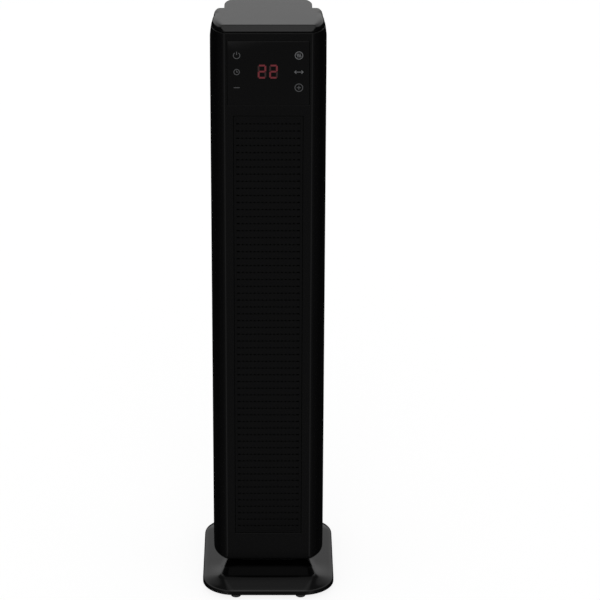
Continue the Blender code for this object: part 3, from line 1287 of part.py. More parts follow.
def make_rocker_switch(tower):
    half_width = ROCKER_HALF_WIDTH + ROCKER_CLEARANCE
    half_height = ROCKER_HALF_HEIGHT + ROCKER_CLEARANCE
    back = TOWER_REAR - ROCKER_BODY_DEPTH
    body = (
        (-half_width - ROCKER_FRAME, back, ROCKER_Z - half_height - ROCKER_FRAME),
        (half_width + ROCKER_FRAME, TOWER_REAR + ROCKER_FRAME_PROUD, ROCKER_Z + half_height + ROCKER_FRAME),
    )
    flange = ROCKER_FRAME + ROCKER_FRAME_FLANGE
    rim = (
        (-half_width - flange, TOWER_REAR + GAP, ROCKER_Z - half_height - flange),
        (half_width + flange, TOWER_REAR + ROCKER_FRAME_PROUD, ROCKER_Z + half_height + flange),
    )
    housing = new_part("rocker_housing", box_mesh("rocker_housing", body), BLACK_MATTE, tower)
    join(housing, new_tool("rocker_rim", box_mesh("rocker_rim", rim), tower))
    depth = TOWER_REAR - ROCKER_DEPTH - ROCKER_HALF_HEIGHT * math.sin(ROCKER_TILT) - 2 * GAP
    hollow = (
        (-half_width, depth, ROCKER_Z - half_height),
        (half_width, TOWER_REAR + OVERRUN, ROCKER_Z + half_height),
    )
    cut(housing, new_tool("rocker_hollow", box_mesh("rocker_hollow", hollow), tower))
    pivot_y = TOWER_REAR - ROCKER_DEPTH / 2
    axis = new_axis("rocker_axis", (0, pivot_y, ROCKER_Z), tower)
    # Seen from the side, the top is two planes that meet in a shallow valley
    rise = ROCKER_HALF_HEIGHT * math.tan(ROCKER_TILT)
    near = -ROCKER_DEPTH / 2
    top = ROCKER_DEPTH / 2 + ROCKER_PROUD
    end = ROCKER_HALF_HEIGHT * math.cos(ROCKER_TILT)
    side = [(near, -end / 2), (near, end / 2), (0, end), (top, end), (top - rise, 0), (top, -end), (0, -end)]
    mesh = prism_mesh("rocker", side[::-1], -ROCKER_HALF_WIDTH, ROCKER_HALF_WIDTH)
    mesh.transform(Matrix(((0, 0, 1, 0), (1, 0, 0, 0), (0, 1, 0, 0), (0, 0, 0, 1))))
    mesh.transform(Matrix.Rotation(ROCKER_TILT, 4, "X"))
    rocker = new_part("rocker", mesh, BLACK_GLOSS, axis)
    reach = half_width + ROCKER_FRAME / 2
    pin = (ROCKER_PIN_RADIUS, (-reach, 0, 0), (reach, 0, 0))
    join(rocker, new_tool("rocker_pin", rod_mesh("rocker_pin", pin, steps=SMALL_STEPS), axis))
    socket = (
        ROCKER_PIN_RADIUS + GAP, (-reach - GAP, pivot_y, ROCKER_Z), (reach + GAP, pivot_y, ROCKER_Z),
    )
    cut(housing, new_tool("rocker_socket", rod_mesh("rocker_socket", socket, steps=SMALL_STEPS), tower))


def main():
    make_base_cover()
    make_base_plate()
    make_feet()
    make_base_screws()
    make_pivot_post()
    make_slide_ring()
    make_fixed_gear()
    make_post_clip()
    make_tip_switch()
    tower = new_axis("swing_axis", (0, SWING_Y, 0))
    make_chassis(tower)
    make_front_shell(tower)
    make_rear_shell(tower)
    make_rear_hood(tower)
    make_rear_screws(tower)
    make_top_cap(tower)
    make_grille(tower)
    make_panel(tower)
    make_grip_cup(tower)
    make_panel_electronics(tower)
    make_deck("motor_deck", MOTOR_DECK_Z, SHAFT_RADIUS + GAP, tower)
    make_deck("bearing_deck", BEARING_DECK_Z, BEARING_RADIUS + GAP, tower)
    make_wheel(tower)
    make_blower_motor(tower)
    make_bearing(tower)
    make_air_channel(tower)
    make_heater(tower)
    make_swing_drive(tower)
    make_power_board(tower)
    make_filter(tower)
    make_gland(tower)
    make_rocker_switch(tower)


main()
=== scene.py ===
import json
import math

import bmesh
import bpy
import numpy as np
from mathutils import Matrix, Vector


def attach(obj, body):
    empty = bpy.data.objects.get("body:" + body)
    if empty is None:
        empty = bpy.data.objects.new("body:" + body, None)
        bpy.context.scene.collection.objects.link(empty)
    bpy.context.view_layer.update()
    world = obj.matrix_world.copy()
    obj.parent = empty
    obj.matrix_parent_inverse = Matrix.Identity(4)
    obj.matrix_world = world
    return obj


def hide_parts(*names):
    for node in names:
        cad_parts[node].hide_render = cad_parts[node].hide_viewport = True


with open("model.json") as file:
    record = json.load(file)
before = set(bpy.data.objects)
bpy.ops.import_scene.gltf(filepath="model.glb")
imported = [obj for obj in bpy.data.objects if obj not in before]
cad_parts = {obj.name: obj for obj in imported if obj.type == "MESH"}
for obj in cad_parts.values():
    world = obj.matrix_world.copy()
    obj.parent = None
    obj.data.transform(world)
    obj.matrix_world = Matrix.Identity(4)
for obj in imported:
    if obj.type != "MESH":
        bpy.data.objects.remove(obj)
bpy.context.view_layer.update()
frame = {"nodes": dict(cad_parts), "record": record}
mm = 0.001
swingY = 9.0                     # the tower turns about x = 0, y = 9 mm
smoothAngle = 38.0               # edges sharper than this, in degrees, stay sharp

print("stage 1: camera, floor and light")

view = {
    "distance": 2.721, "height": 1.423, "pitch": 22.0,
    "lens": 160.14, "sensor": 36.0, "shiftX": 0.0529,
}
cameraData = bpy.data.cameras.new("viewpoint")
cameraData.lens = view["lens"]
cameraData.sensor_width = view["sensor"]
cameraData.shift_x = view["shiftX"]
cameraData.clip_end = 50
camera = bpy.data.objects.new("viewpoint", cameraData)
camera.location = (0, -view["distance"], view["height"])
camera.rotation_euler = (math.radians(90 - view["pitch"]), 0, 0)
bpy.context.scene.collection.objects.link(camera)
bpy.context.scene.camera = camera
bpy.context.scene.view_settings.view_transform = "Standard"
bpy.context.scene.view_settings.look = "None"


# A socket that can be used in sums and products; each operator adds one Math node.
class Wire:
    def __init__(self, graph, socket):
        self.graph = graph
        self.socket = socket

    def math(self, operation, first, second=None):
        values = [first] if second is None else [first, second]
        return self.graph.node("ShaderNodeMath", {"operation": operation}, *values)

    def __add__(self, other):
        return self.math("ADD", self, other)

    def __radd__(self, other):
        return self.math("ADD", other, self)

    def __sub__(self, other):
        return self.math("SUBTRACT", self, other)

    def __rsub__(self, other):
        return self.math("SUBTRACT", other, self)

    def __mul__(self, other):
        return self.math("MULTIPLY", self, other)

    def __rmul__(self, other):
        return self.math("MULTIPLY", other, self)

    def __truediv__(self, other):
        return self.math("DIVIDE", self, other)

    def __pow__(self, other):
        return self.math("POWER", self, other)

    def above(self, edge):
        return self.math("GREATER_THAN", self, edge)

    def least(self, other):
        return self.math("MINIMUM", self, other)

    def most(self, other):
        return self.math("MAXIMUM", self, other)

    def size(self):
        return self.math("ABSOLUTE", self)

    def wave(self):
        return self.math("SINE", self)

    def limited(self):
        return self.most(0.0).least(1.0)

    # From 0 at the first value to 1 at the second, straight or eased by 3 t^2 - 2 t^3.
    def ramp(self, start, end):
        return ((self - start) / (end - start)).limited()

    def eased(self, start, end):
        t = self.ramp(start, end)
        return t * t * (3 - 2 * t)


# A node tree; node() takes the type, the settings, then socket values or links.
class Graph:
    def __init__(self, tree):
        self.tree = tree
        tree.nodes.clear()

    def node(self, kind, settings=None, *values, out=0, **named):
        made = self.tree.nodes.new(kind)
        for key, value in (settings or {}).items():
            setattr(made, key, value)
        for number, value in enumerate(values):
            self.feed(made.inputs[number], value)
        for name, value in named.items():
            self.feed(made.inputs[name.replace("_", " ")], value)
        return Wire(self, made.outputs[out]) if made.outputs else made

    def feed(self, socket, value):
        if value is None:
            return
        if isinstance(value, Wire):
            self.tree.links.new(value.socket, socket)
        else:
            socket.default_value = value

    def place(self, scale=(1, 1, 1)):
        spot = self.node("ShaderNodeTexCoord", {}, out="Object")
        return self.node("ShaderNodeMapping", {}, spot, Scale=scale)

    def axes(self, spot):
        split = self.tree.nodes.new("ShaderNodeSeparateXYZ")
        self.tree.links.new(spot.socket, split.inputs[0])
        return [Wire(self, split.outputs[i]) for i in range(3)]

    def noise(self, spot, scale, detail):
        return self.node(
            "ShaderNodeTexNoise", {"noise_dimensions": "3D"}, Vector=spot, Scale=scale,
            Detail=detail, Roughness=0.55,
        )

    def cells(self, spot, scale):
        return self.node("ShaderNodeTexVoronoi", {"feature": "F1"}, Vector=spot, Scale=scale, out="Distance")

    def blend(self, share, first, second):
        made = self.tree.nodes.new("ShaderNodeMix")
        made.data_type = "RGBA"
        self.feed(made.inputs["Factor"], share)
        for name, value in (("A", first), ("B", second)):
            socket = [s for s in made.inputs if s.name == name and s.type == "RGBA"][0]
            self.feed(socket, (*value, 1) if isinstance(value, tuple) else value)
        return Wire(self, [s for s in made.outputs if s.type == "RGBA"][0])

    def bump(self, height, depth):
        return self.node("ShaderNodeBump", {}, Strength=1.0, Distance=depth, Height=height)

    def finish(self, **sockets):
        shader = self.node("ShaderNodeBsdfPrincipled", {}, **sockets)
        self.node("ShaderNodeOutputMaterial", {}, Surface=shader)


def newFinish(name):
    made = bpy.data.materials.new(name)
    made.use_nodes = True
    return made, Graph(made.node_tree)


# The sky that the gloss sees: bright above the horizon and most of all high up in front, dimmer at
# the far sides of the back, at the upper sides and overhead, and dark below, less so in front. Two
# soft strips low in front light the creases. The camera itself sees plain white.
sky = {
    "dome": 0.56, "lift": 0.5, "behind": 0.62, "aside": 0.17, "corner": 0.10, "zenith": 0.20,
    "ground": 0.006, "frontGround": 0.092, "stripGlow": 0.26, "stripSide": 0.52, "stripWidth": 0.30,
    "seen": 1.02,
}

# Where each part of the sky starts and ends, along one axis of the way that a ray goes.
skyEdges = {
    "horizon": (-0.08, 0.08), "zenith": (0.62, 0.93), "lift": (0.42, 0.54), "liftFront": (0.0, 0.333),
    "behind": (0.0, 0.5), "aside": (0.1, 0.35), "cornerSide": (0.15, 0.4), "cornerHigh": (0.4, 0.567),
    "groundFront": (-0.48, 0.853),
}


def makeSky():
    world = bpy.data.worlds.new("studio")
    bpy.context.scene.world = world
    world.use_nodes = True
    graph = Graph(world.node_tree)
    way = graph.node("ShaderNodeTexCoord", {}, out="Generated")
    x, y, z = graph.axes(way)
    edges = skyEdges
    lifted = z.ramp(*edges["lift"]) * (0 - y).ramp(*edges["liftFront"])
    back = sky["behind"] - sky["dome"] - sky["aside"] * x.size().ramp(*edges["aside"])
    dome = sky["dome"] + back * y.ramp(*edges["behind"]) + lifted * sky["lift"]
    dome = dome - z.eased(*edges["zenith"]) * (dome - sky["zenith"])
    corner = x.size().ramp(*edges["cornerSide"]) * z.ramp(*edges["cornerHigh"])
    dome = dome - corner * (dome - sky["corner"])
    flat = ((x * x + y * y) ** 0.5).most(0.001)
    side, front = x.size() / flat, (0 - y) / flat
    strip = (1 - (side - sky["stripSide"]).size() / sky["stripWidth"]).limited() * front.above(0.0)
    below = sky["ground"] + front.ramp(*edges["groundFront"]) * (sky["frontGround"] - sky["ground"])
    below = below + strip * strip * sky["stripGlow"]
    lit = z.eased(*edges["horizon"])
    glow = below * (1 - lit) + dome * lit
    seen = graph.node("ShaderNodeLightPath", {}, out="Is Camera Ray")
    strength = glow * (1 - seen) + seen * sky["seen"]
    shader = graph.node("ShaderNodeBackground", {}, Color=(1, 1, 1, 1), Strength=strength)
    graph.node("ShaderNodeOutputWorld", {}, Surface=shader)


makeSky()

floorPlan = {"half": 30.0, "glow": 0.825, "albedo": 0.62}


def makeFloor():
    half = floorPlan["half"]
    mesh = bpy.data.meshes.new("studioFloor")
    corners = [(-half, -half, 0), (half, -half, 0), (half, half, 0), (-half, half, 0)]
    mesh.from_pydata(corners, [], [(0, 1, 2, 3)])
    floor = bpy.data.objects.new("studioFloor", mesh)
    bpy.context.scene.collection.objects.link(floor)
    made, graph = newFinish("paperFloor")
    shade = graph.node("ShaderNodeBsdfDiffuse", {}, Color=(floorPlan["albedo"],) * 3 + (1,))
    glow = graph.node("ShaderNodeEmission", {}, Color=(1, 1, 1, 1), Strength=floorPlan["glow"])
    both = graph.node("ShaderNodeAddShader", {}, shade, glow)
    graph.node("ShaderNodeOutputMaterial", {}, Surface=both)
    mesh.materials.append(made)
    floor.visible_glossy = False


makeFloor()

print("stage 2: finishes")


# Moulded black plastic: a faint orange peel, with a gloss and a tint that cloud from handling.
def mouldedGloss(name, colour, gloss, peel=0.00001, haze=0.05):
    made, graph = newFinish(name)
    spot = graph.place()
    cloud = graph.noise(spot, 14.0, 4.0)
    fine = graph.noise(spot, 900.0, 2.0)
    wide = graph.noise(spot, 120.0, 2.0)
    rough = gloss + haze * (cloud - 0.45)
    tint = graph.blend(cloud.limited(), colour, tuple(c * 1.35 for c in colour))
    bump = graph.bump(fine * 0.35 + wide * 0.65, peel)
    graph.finish(Base_Color=tint, Roughness=rough, Normal=bump, IOR=1.49)
    return made


# Spark-eroded plastic: rounded grains about a third of a millimetre across, lighter where high: painted light
# on the grain tops and painted shade in the hollows.
def erodedPlastic(name, colour, rough, depth=0.00006, grain=2600.0, shine=0.5):
    made, graph = newFinish(name)
    spot = graph.place()
    cells = graph.cells(spot, grain)
    cloud = graph.noise(spot, 22.0, 4.0)
    fine = graph.noise(spot, grain * 1.7, 2.0)
    height = (1 - cells) * 0.7 + fine * 0.3
    # The tint carries painted light and shade from the grain height, and a random tone from the cloud.
    tint = graph.blend((height * 0.8 + cloud * 0.3).limited(), colour, tuple(c * 1.9 for c in colour))
    graph.finish(
        Base_Color=tint, Roughness=rough + 0.12 * (cloud - 0.5), Normal=graph.bump(height, depth), IOR=1.48,
        Specular_IOR_Level=shine,
    )
    return made


# Metal with fine drawn lines along one axis; lines are noise squeezed across that axis.
def drawnMetal(name, colour, rough, along=(1, 1, 0.02)):
    made, graph = newFinish(name)
    lines = graph.noise(graph.place(along), 900.0, 3.0)
    stain = graph.noise(graph.place(), 40.0, 4.0)
    tint = graph.blend((stain * 0.6 + lines * 0.4).limited(), tuple(c * 0.72 for c in colour), colour)
    graph.finish(
        Base_Color=tint, Metallic=1.0, Roughness=rough + 0.2 * (lines - 0.5) + 0.1 * (stain - 0.5),
        Normal=graph.bump(lines, 0.00002),
    )
    return made


# Rubber: a dull skin with fine pits and pale bloom.
def dullRubber(name, colour):
    made, graph = newFinish(name)
    spot = graph.place()
    pits = graph.noise(spot, 1400.0, 3.0)
    bloom = graph.noise(spot, 60.0, 4.0)
    tint = graph.blend((bloom - 0.35).limited(), colour, tuple(c * 2.2 for c in colour))
    graph.finish(
        Base_Color=tint, Roughness=0.72 + 0.2 * (bloom - 0.5), Normal=graph.bump(pits, 0.00008), IOR=1.5,
    )
    return made


# Milky nylon: slight clouding and a waxy surface.
def milkyNylon(name, colour):
    made, graph = newFinish(name)
    spot = graph.place()
    cloud = graph.noise(spot, 90.0, 4.0)
    fine = graph.noise(spot, 1500.0, 2.0)
    tint = graph.blend(cloud.limited(), tuple(c * 0.86 for c in colour), colour)
    graph.finish(
        Base_Color=tint, Roughness=0.42 + 0.16 * (cloud - 0.5), Normal=graph.bump(fine, 0.00003), IOR=1.53,
    )
    return made


# Circuit board: copper tracks on a grid show through the green mask, with solder dots between.
def maskedBoard(name, colour):
    made, graph = newFinish(name)
    x, _, z = graph.axes(graph.place())
    wander = graph.noise(graph.place(), 35.0, 1.0)
    trackX = ((x * 1400 + wander * 9).wave()).above(0.55)
    trackZ = ((z * 1100 + wander * 11).wave()).above(0.62)
    pads = 1 - graph.cells(graph.place(), 210.0).above(0.16)
    tracks = trackX.most(trackZ)
    tint = graph.blend(tracks, colour, (0.05, 0.33, 0.14))
    tint = graph.blend(pads, tint, (0.62, 0.62, 0.6))
    graph.finish(
        Base_Color=tint, Roughness=0.42 - 0.14 * pads, Metallic=pads,
        Normal=graph.bump(tracks * 0.5 + pads, 0.00004),
    )
    return made


# Woven screen: two crossed sets of threads, 0.8 mm apart.
def wovenScreen(name, colour):
    made, graph = newFinish(name)
    x, _, z = graph.axes(graph.place())
    warp = (x * 7850).wave()
    weft = (z * 7850).wave()
    cloth = warp.most(weft) * 0.5 + 0.5
    tint = graph.blend(cloth, tuple(c * 0.25 for c in colour), colour)
    graph.finish(Base_Color=tint, Roughness=0.9 - 0.2 * cloth, Normal=graph.bump(cloth, 0.0003))
    return made


finishes = {
    "black_gloss": mouldedGloss("glossBlack", (0.0012, 0.0012, 0.0013), 0.15),
    "smoked_panel": mouldedGloss("smokedLens", (0.0014, 0.0014, 0.0015), 0.07, 0.000004, 0.03),
    "black_textured": erodedPlastic("grainedBlack", (0.007, 0.007, 0.0074), 0.46),
    "black_matte": erodedPlastic("satinBlack", (0.004, 0.004, 0.0042), 0.55, 0.00003, 3800.0, 0.3),
    "outlet": erodedPlastic("outletBlack", (0.0023, 0.0023, 0.0024), 0.6, 0.00002, 3800.0, 0.09),
    "cores": drawnMetal("blackenedFins", (0.012, 0.012, 0.013), 0.6, (0.02, 1, 1)),
    "heat_proof_plastic": erodedPlastic("heatProofGrey", (0.012, 0.011, 0.010), 0.7, 0.00008, 1800.0, 0.1),
    "rubber": dullRubber("footRubber", (0.018, 0.018, 0.018)),
    "steel": drawnMetal("zincSteel", (0.60, 0.61, 0.62), 0.36),
    "aluminium": drawnMetal("bareAluminium", (0.80, 0.81, 0.82), 0.40, (0.02, 1, 1)),
    "white_nylon": milkyNylon("naturalNylon", (0.78, 0.77, 0.72)),
    "board_green": maskedBoard("solderMask", (0.02, 0.17, 0.07)),
    "display_dark": mouldedGloss("displayWindow", (0.03, 0.006, 0.007), 0.2, 0.00001),
    "filter_mesh": wovenScreen("filterCloth", (0.05, 0.05, 0.055)),
}


# Glowing signs with a slightly uneven glow: the lit signs and digits glow as lamps; on the dim printed signs
# and the unlit digit bars the glow is painted light.
def glowFinish(name, colour, strength):
    made, graph = newFinish(name)
    grain = graph.noise(graph.place(), 1500.0, 2.0)
    lit = graph.blend(grain.limited(), tuple(c * 0.85 for c in colour), colour)
    graph.finish(
        Base_Color=(0.01, 0.01, 0.01, 1), Roughness=0.4 + 0.1 * grain, Emission_Color=lit,
        Emission_Strength=strength,
    )
    return made


# Each solid of the frame takes its slot's finish; the heating cores have one of their own.
for row in frame["record"]["subparts"]:
    node = frame["nodes"].get(row["node"])
    if node:
        kind = "cores" if row["node"].startswith("ptc_core") else row["material_slot"]
        node.data.materials.clear()
        node.data.materials.append(finishes[kind])

print("stage 3: plan lines of the tower")

# Lengths are in mm. In all the dictionaries half and tall are half a width and half a height.
plan = {
    "frontY": -58.0, "rearY": 55.0, "halfWidth": 61.6, "flatHalf": 46.8, "crease": 6.6,
    "widestY": -24.0, "rearFlank": 80.0, "lip": 4.2, "lipY": 12.0, "rearHalf": 47.1,
    "rearCorner": 28.0, "rearStart": 5.0, "wall": 2.2, "gap": 0.3,
    "bottom": 29.4, "shellTop": 641.9, "capLow": 642.5, "top": 650.0,
    "windowHalf": 43.2, "window": (563.5, 633.5), "outletHalf": 37.0, "outlet": (62.0, 552.0),
    "frontColumns": (12.0, 24.0, 40.0), "rearColumns": (12.0, 6.0),
}


# Points on a circle: centre + radius (cos, sin) of evenly spaced angles.
def arcLine(x, y, radius, start, end, count):
    turn = np.linspace(start, end, count)
    return np.stack([x + radius * np.cos(turn), y + radius * np.sin(turn)], axis=1)


# Each point moves to its left by its distance, along the mitre of its two neighbouring sides.
def offsetLine(line, distance, closed=False):
    distance = np.reshape(distance, (-1, 1))
    before = np.roll(line, 1, axis=0)
    after = np.roll(line, -1, axis=0)
    if not closed:
        before[0] = 2 * line[0] - line[1]
        after[-1] = 2 * line[-1] - line[-2]
    sides = []
    for step in (line - before, after - line):
        step = step / np.linalg.norm(step, axis=1)[:, None]
        sides.append(np.stack([-step[:, 1], step[:, 0]], axis=1))
    spread = 1 + (sides[0] * sides[1]).sum(axis=1)
    return line + distance * (sides[0] + sides[1]) / spread[:, None]


# A closed line: the right half from front to back, then its mirror image from back to front.
def loopLine(right):
    return np.concatenate([right, right[::-1] * (-1, 1)])


# The flank's front arc passes the crease corner and runs straight back at its widest point.
def flankArc():
    p = plan
    reach, depth = p["halfWidth"] - p["flatHalf"], p["widestY"] - p["frontY"]
    radius = (reach ** 2 + depth ** 2) / (2 * reach)
    centre = p["halfWidth"] - radius
    corner = math.atan2(-depth, p["flatHalf"] - centre)
    return radius, centre, corner, p["crease"] * math.tan((corner + math.pi / 2) / 2)


# Where the flat front meets the crease's arc.
def flatEnd():
    return plan["flatHalf"] - flankArc()[3]


# Right half of the front shell: flat, crease arc, two flank arcs and the lip that turns in.
def frontHalf():
    p = plan
    radius, centre, corner, trim = flankArc()
    columns = sorted((*p["frontColumns"], p["outletHalf"], p["windowHalf"]))
    flat = np.array([[x, p["frontY"]] for x in columns])
    crease = arcLine(flatEnd(), p["frontY"] + p["crease"], p["crease"], -math.pi / 2, corner, 9)
    flank = arcLine(centre, p["widestY"], radius, corner + trim / radius, 0, 18)
    rearX, lipY = p["halfWidth"] - p["rearFlank"], p["lipY"] - p["lip"]
    rearTurn = math.asin((lipY - p["widestY"]) / p["rearFlank"])
    rear = arcLine(rearX, p["widestY"], p["rearFlank"], 0, rearTurn, 12)
    lip = arcLine(rear[-1, 0] - p["lip"], lipY, p["lip"], rearTurn, math.pi / 2, 9)
    return np.concatenate([flat, crease, flank[1:], rear[1:-1], lip])


# Right half of the rear case: a straight side from y = start, a round corner and the flat back.
def rearHalf(start):
    p = plan
    x, y = p["rearHalf"] - p["rearCorner"], p["rearY"] - p["rearCorner"]
    side = np.array([[p["rearHalf"], v] for v in np.linspace(start, y, 4)[:-1]])
    corner = arcLine(x, y, p["rearCorner"], 0, math.pi / 2, 19)
    flat = np.array([[x, p["rearY"]] for x in p["rearColumns"]])
    return np.concatenate([side, corner, flat])


# The front shell's line, open at the back: from the left lip's end round to the right one's.
def frontLine():
    right = np.concatenate([frontHalf(), [[plan["rearHalf"] + plan["gap"], plan["lipY"]]]])
    return np.concatenate([right[::-1] * (-1, 1), right])


def towerLine():
    return loopLine(np.concatenate([frontHalf(), rearHalf(plan["lipY"])]))


# A line in x and z as a row of points at the depth y, raised by lift.
def uprightRow(line, y, lift=0.0):
    return np.column_stack([line[:, 0], np.full(len(line), y) + swingY, line[:, 1] + lift])


# A mesh from a grid of points (rows, columns, 3) in mm; closed joins the last column to the first.
def gridMesh(name, grid, closed=False, keep=None, capLow=False, capHigh=False):
    rows, columns = grid.shape[:2]
    index = np.arange(rows * columns).reshape(rows, columns)
    right = np.roll(index, -1, axis=1) if closed else index[:, 1:]
    left = index if closed else index[:, :-1]
    quads = np.stack([left[:-1], right[:-1], right[1:], left[1:]], axis=-1)
    if keep is not None:
        quads = quads[keep]
    faces = quads.reshape(-1, 4).tolist()
    if capLow:
        faces.append(index[0, ::-1].tolist())
    if capHigh:
        faces.append(index[-1].tolist())
    used, renumbered = np.unique(np.concatenate([np.ravel(f) for f in faces]), return_inverse=True)
    points = grid.reshape(-1, 3)[used] * mm
    ends = np.cumsum([len(f) for f in faces])
    renumbered = renumbered.tolist()
    faces = [renumbered[e - len(f):e] for f, e in zip(faces, ends)]
    mesh = bpy.data.meshes.new(name)
    mesh.from_pydata(points.tolist(), [], faces)
    mesh.validate()
    return mesh


# The plan line at each level (height, inward), moved inwards by one amount or by one per point.
def loftGrid(line, levels, closed=False):
    grid = np.zeros((len(levels), len(line), 3))
    for row, (height, inward) in enumerate(levels):
        grid[row, :, :2] = offsetLine(line, inward, closed) + (0, swingY)
        grid[row, :, 2] = height
    return grid


# 0 below the first value, 1 above the second, 3 t^2 - 2 t^3 between them.
def smoothStep(values, start, end):
    t = np.clip((values - start) / (end - start), 0, 1)
    return t * t * (3 - 2 * t)


# A mesh as a visible piece on its body, shaded smooth apart from its sharp edges.
def addPiece(name, mesh, body, slotName, finish=None, replaced=(), smooth=smoothAngle):
    piece = bpy.data.objects.new(name, mesh)
    bpy.context.scene.collection.objects.link(piece)
    mesh.materials.append(finish or finishes[slotName])
    if smooth:
        mesh.shade_smooth()
        mesh.set_sharp_from_angle(angle=math.radians(smooth))
    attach(piece, body)
    if replaced:
        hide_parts(*replaced)
    return piece


# The modifiers' result becomes the mesh itself, so that later cuts start from it.
def settle(piece):
    graph = bpy.context.evaluated_depsgraph_get()
    mesh = bpy.data.meshes.new_from_object(piece.evaluated_get(graph))
    piece.modifiers.clear()
    piece.data = mesh
    mesh.shade_smooth()
    mesh.set_sharp_from_angle(angle=math.radians(smoothAngle))


def addWall(piece, thickness, offset=-1.0):
    step = piece.modifiers.new("wall", "SOLIDIFY")
    step.thickness = thickness * mm
    step.offset = offset
    step.use_even_offset = True


def addBevel(piece, width, segments, angle):
    step = piece.modifiers.new("edges", "BEVEL")
    step.width = width * mm
    step.segments = segments
    step.limit_method = "ANGLE"
    step.angle_limit = math.radians(angle)
    step.use_clamp_overlap = False
    step.harden_normals = True


# Outline of a box with round corners, counter-clockwise from its right side.
def roundRect(halfX, halfY, radius, steps=6):
    quarter = math.pi / 2
    corners = [(1, 1, 0), (-1, 1, 1), (-1, -1, 2), (1, -1, 3)]
    return np.concatenate([
        arcLine(sx * (halfX - radius), sy * (halfY - radius), radius, k * quarter, (k + 1) * quarter, steps)
        for sx, sy, k in corners
    ])


def fixNormals(mesh):
    shape = bmesh.new()
    shape.from_mesh(mesh)
    bmesh.ops.remove_doubles(shape, verts=shape.verts, dist=1e-6)
    bmesh.ops.recalc_face_normals(shape, faces=shape.faces)
    shape.to_mesh(mesh)
    shape.free()


# A solid from rings of points, with one face over each end.
def ringMesh(name, rings):
    mesh = gridMesh(name, np.array(rings), closed=True, capLow=True, capHigh=True)
    fixNormals(mesh)
    return mesh


# A plate from an outline in x and z: two faces at nearY and farY, with rounded front edges.
def plateMesh(name, outline, nearY, farY, edge, steps=3):
    turns = np.linspace(0, math.pi / 2, steps + 1)
    insets = [edge * (1 - math.sin(t)) for t in turns]
    depths = [nearY + edge * (1 - math.cos(t)) for t in turns]
    rows = [uprightRow(offsetLine(outline, d, True), y) for d, y in zip(insets, depths)]
    rows.append(uprightRow(outline, farY))
    return ringMesh(name, rows)


# Takes the meshes away from the piece.
def cutAway(piece, *meshes):
    tools = []
    for mesh in meshes:
        tool = bpy.data.objects.new("tool", mesh)
        bpy.context.scene.collection.objects.link(tool)
        step = piece.modifiers.new("cut", "BOOLEAN")
        step.operation = "DIFFERENCE"
        step.solver = "EXACT"
        step.object = tool
        tools.append(tool)
    settle(piece)
    for tool in tools:
        bpy.data.objects.remove(tool, do_unlink=True)


# A cutter for the back: an outline in x and z as a block along y, with edges all but sharp.
def cutterMesh(outline):
    return plateMesh("cutter", outline, *rearShape["cut"], 0.0001, 1)


def drillMesh(x, z, radius):
    return cutterMesh(arcLine(x, z, radius, 0, 2 * math.pi, 33)[:-1])


print("stage 4: tower shells")

shellShape = {
    "hem": 0.9, "hemHeight": 3.5, "edge": 0.35, "leanDrop": 22.0, "lean": 3.2, "leanCurve": 1.5,
    "roundDrop": 4.5, "roundInset": 6.0, "lipShare": 0.25, "fadeStart": -8.0, "fadeEnd": 7.0,
    "rows": (160.0, 260.0, 360.0, 460.0, 600.0, 630.5, 632.0), "topRows": (636.0, 638.0, 640.0),
    "flatDepth": 4.0, "bevel": 0.22,
}


# 0 on the flat front, 1 at the widest point of the flanks, in step with the distance from the middle,
# and a small part of that at the lip.
def flankShare(line):
    s = shellShape
    share = np.clip((np.abs(line[:, 0]) - flatEnd()) / (plan["halfWidth"] - flatEnd()), 0, 1)
    return share * (1 - (1 - s["lipShare"]) * smoothStep(line[:, 1], s["fadeStart"], s["fadeEnd"]))


# The flanks lean in towards the top and are rounded over there, more so where the share t is larger:
# inward = lean t u^curve + inset t (1 - sqrt(1 - v^2)), with u and v from 0 to 1 over their drops.
def roundOver(share, height):
    s = shellShape
    below = plan["top"] - height
    u = np.clip(1 - below / np.maximum(s["leanDrop"] * share ** 2, 0.001), 0, 1)
    v = np.clip(1 - below / np.maximum(s["roundDrop"] * share, 0.001), 0, 1)
    return share * (s["lean"] * u ** s["leanCurve"] + s["roundInset"] * (1 - np.sqrt(1 - v * v)))


# Levels of a shell: a quarter ellipse at the hem, the given rows, then the rounded top.
def shellLevels(rows, share):
    s, p = shellShape, plan
    levels = [
        (p["bottom"] + s["hemHeight"] * (1 - math.cos(turn)), s["hem"] * (1 - math.sin(turn)))
        for turn in np.linspace(0, math.pi / 2, 7)
    ]
    levels += [(z, roundOver(share, z)) for z in (*rows, *s["topRows"])]
    for turn in np.linspace(0, math.pi / 2, 5):
        z = p["shellTop"] - s["edge"] * (1 - math.sin(turn))
        levels.append((z, roundOver(share, z) + s["edge"] * (1 - math.cos(turn))))
    return levels


# The outlet and the panel window are left out of the grid.
def makeFrontShell():
    s, p = shellShape, plan
    line = frontLine()
    rows = sorted((*s["rows"], *p["outlet"], *p["window"]))
    grid = loftGrid(line, shellLevels(rows, flankShare(line)))
    midX = np.abs(grid[:-1, :-1, 0] + grid[:-1, 1:, 0]) / 2
    midZ = (grid[:-1, :-1, 2] + grid[1:, :-1, 2]) / 2
    front = grid[:-1, :-1, 1] < p["frontY"] + swingY + s["flatDepth"]
    opened = np.zeros(front.shape, bool)
    for half, (low, high) in ((p["outletHalf"], p["outlet"]), (p["windowHalf"], p["window"])):
        opened |= front & (midX < half) & (midZ > low) & (midZ < high)
    mesh = gridMesh("frontCase", grid, keep=~opened)
    piece = addPiece("frontCase", mesh, "tower", "black_gloss", replaced=["front_shell"])
    addWall(piece, p["wall"])
    addBevel(piece, s["bevel"], 2, 50.0)


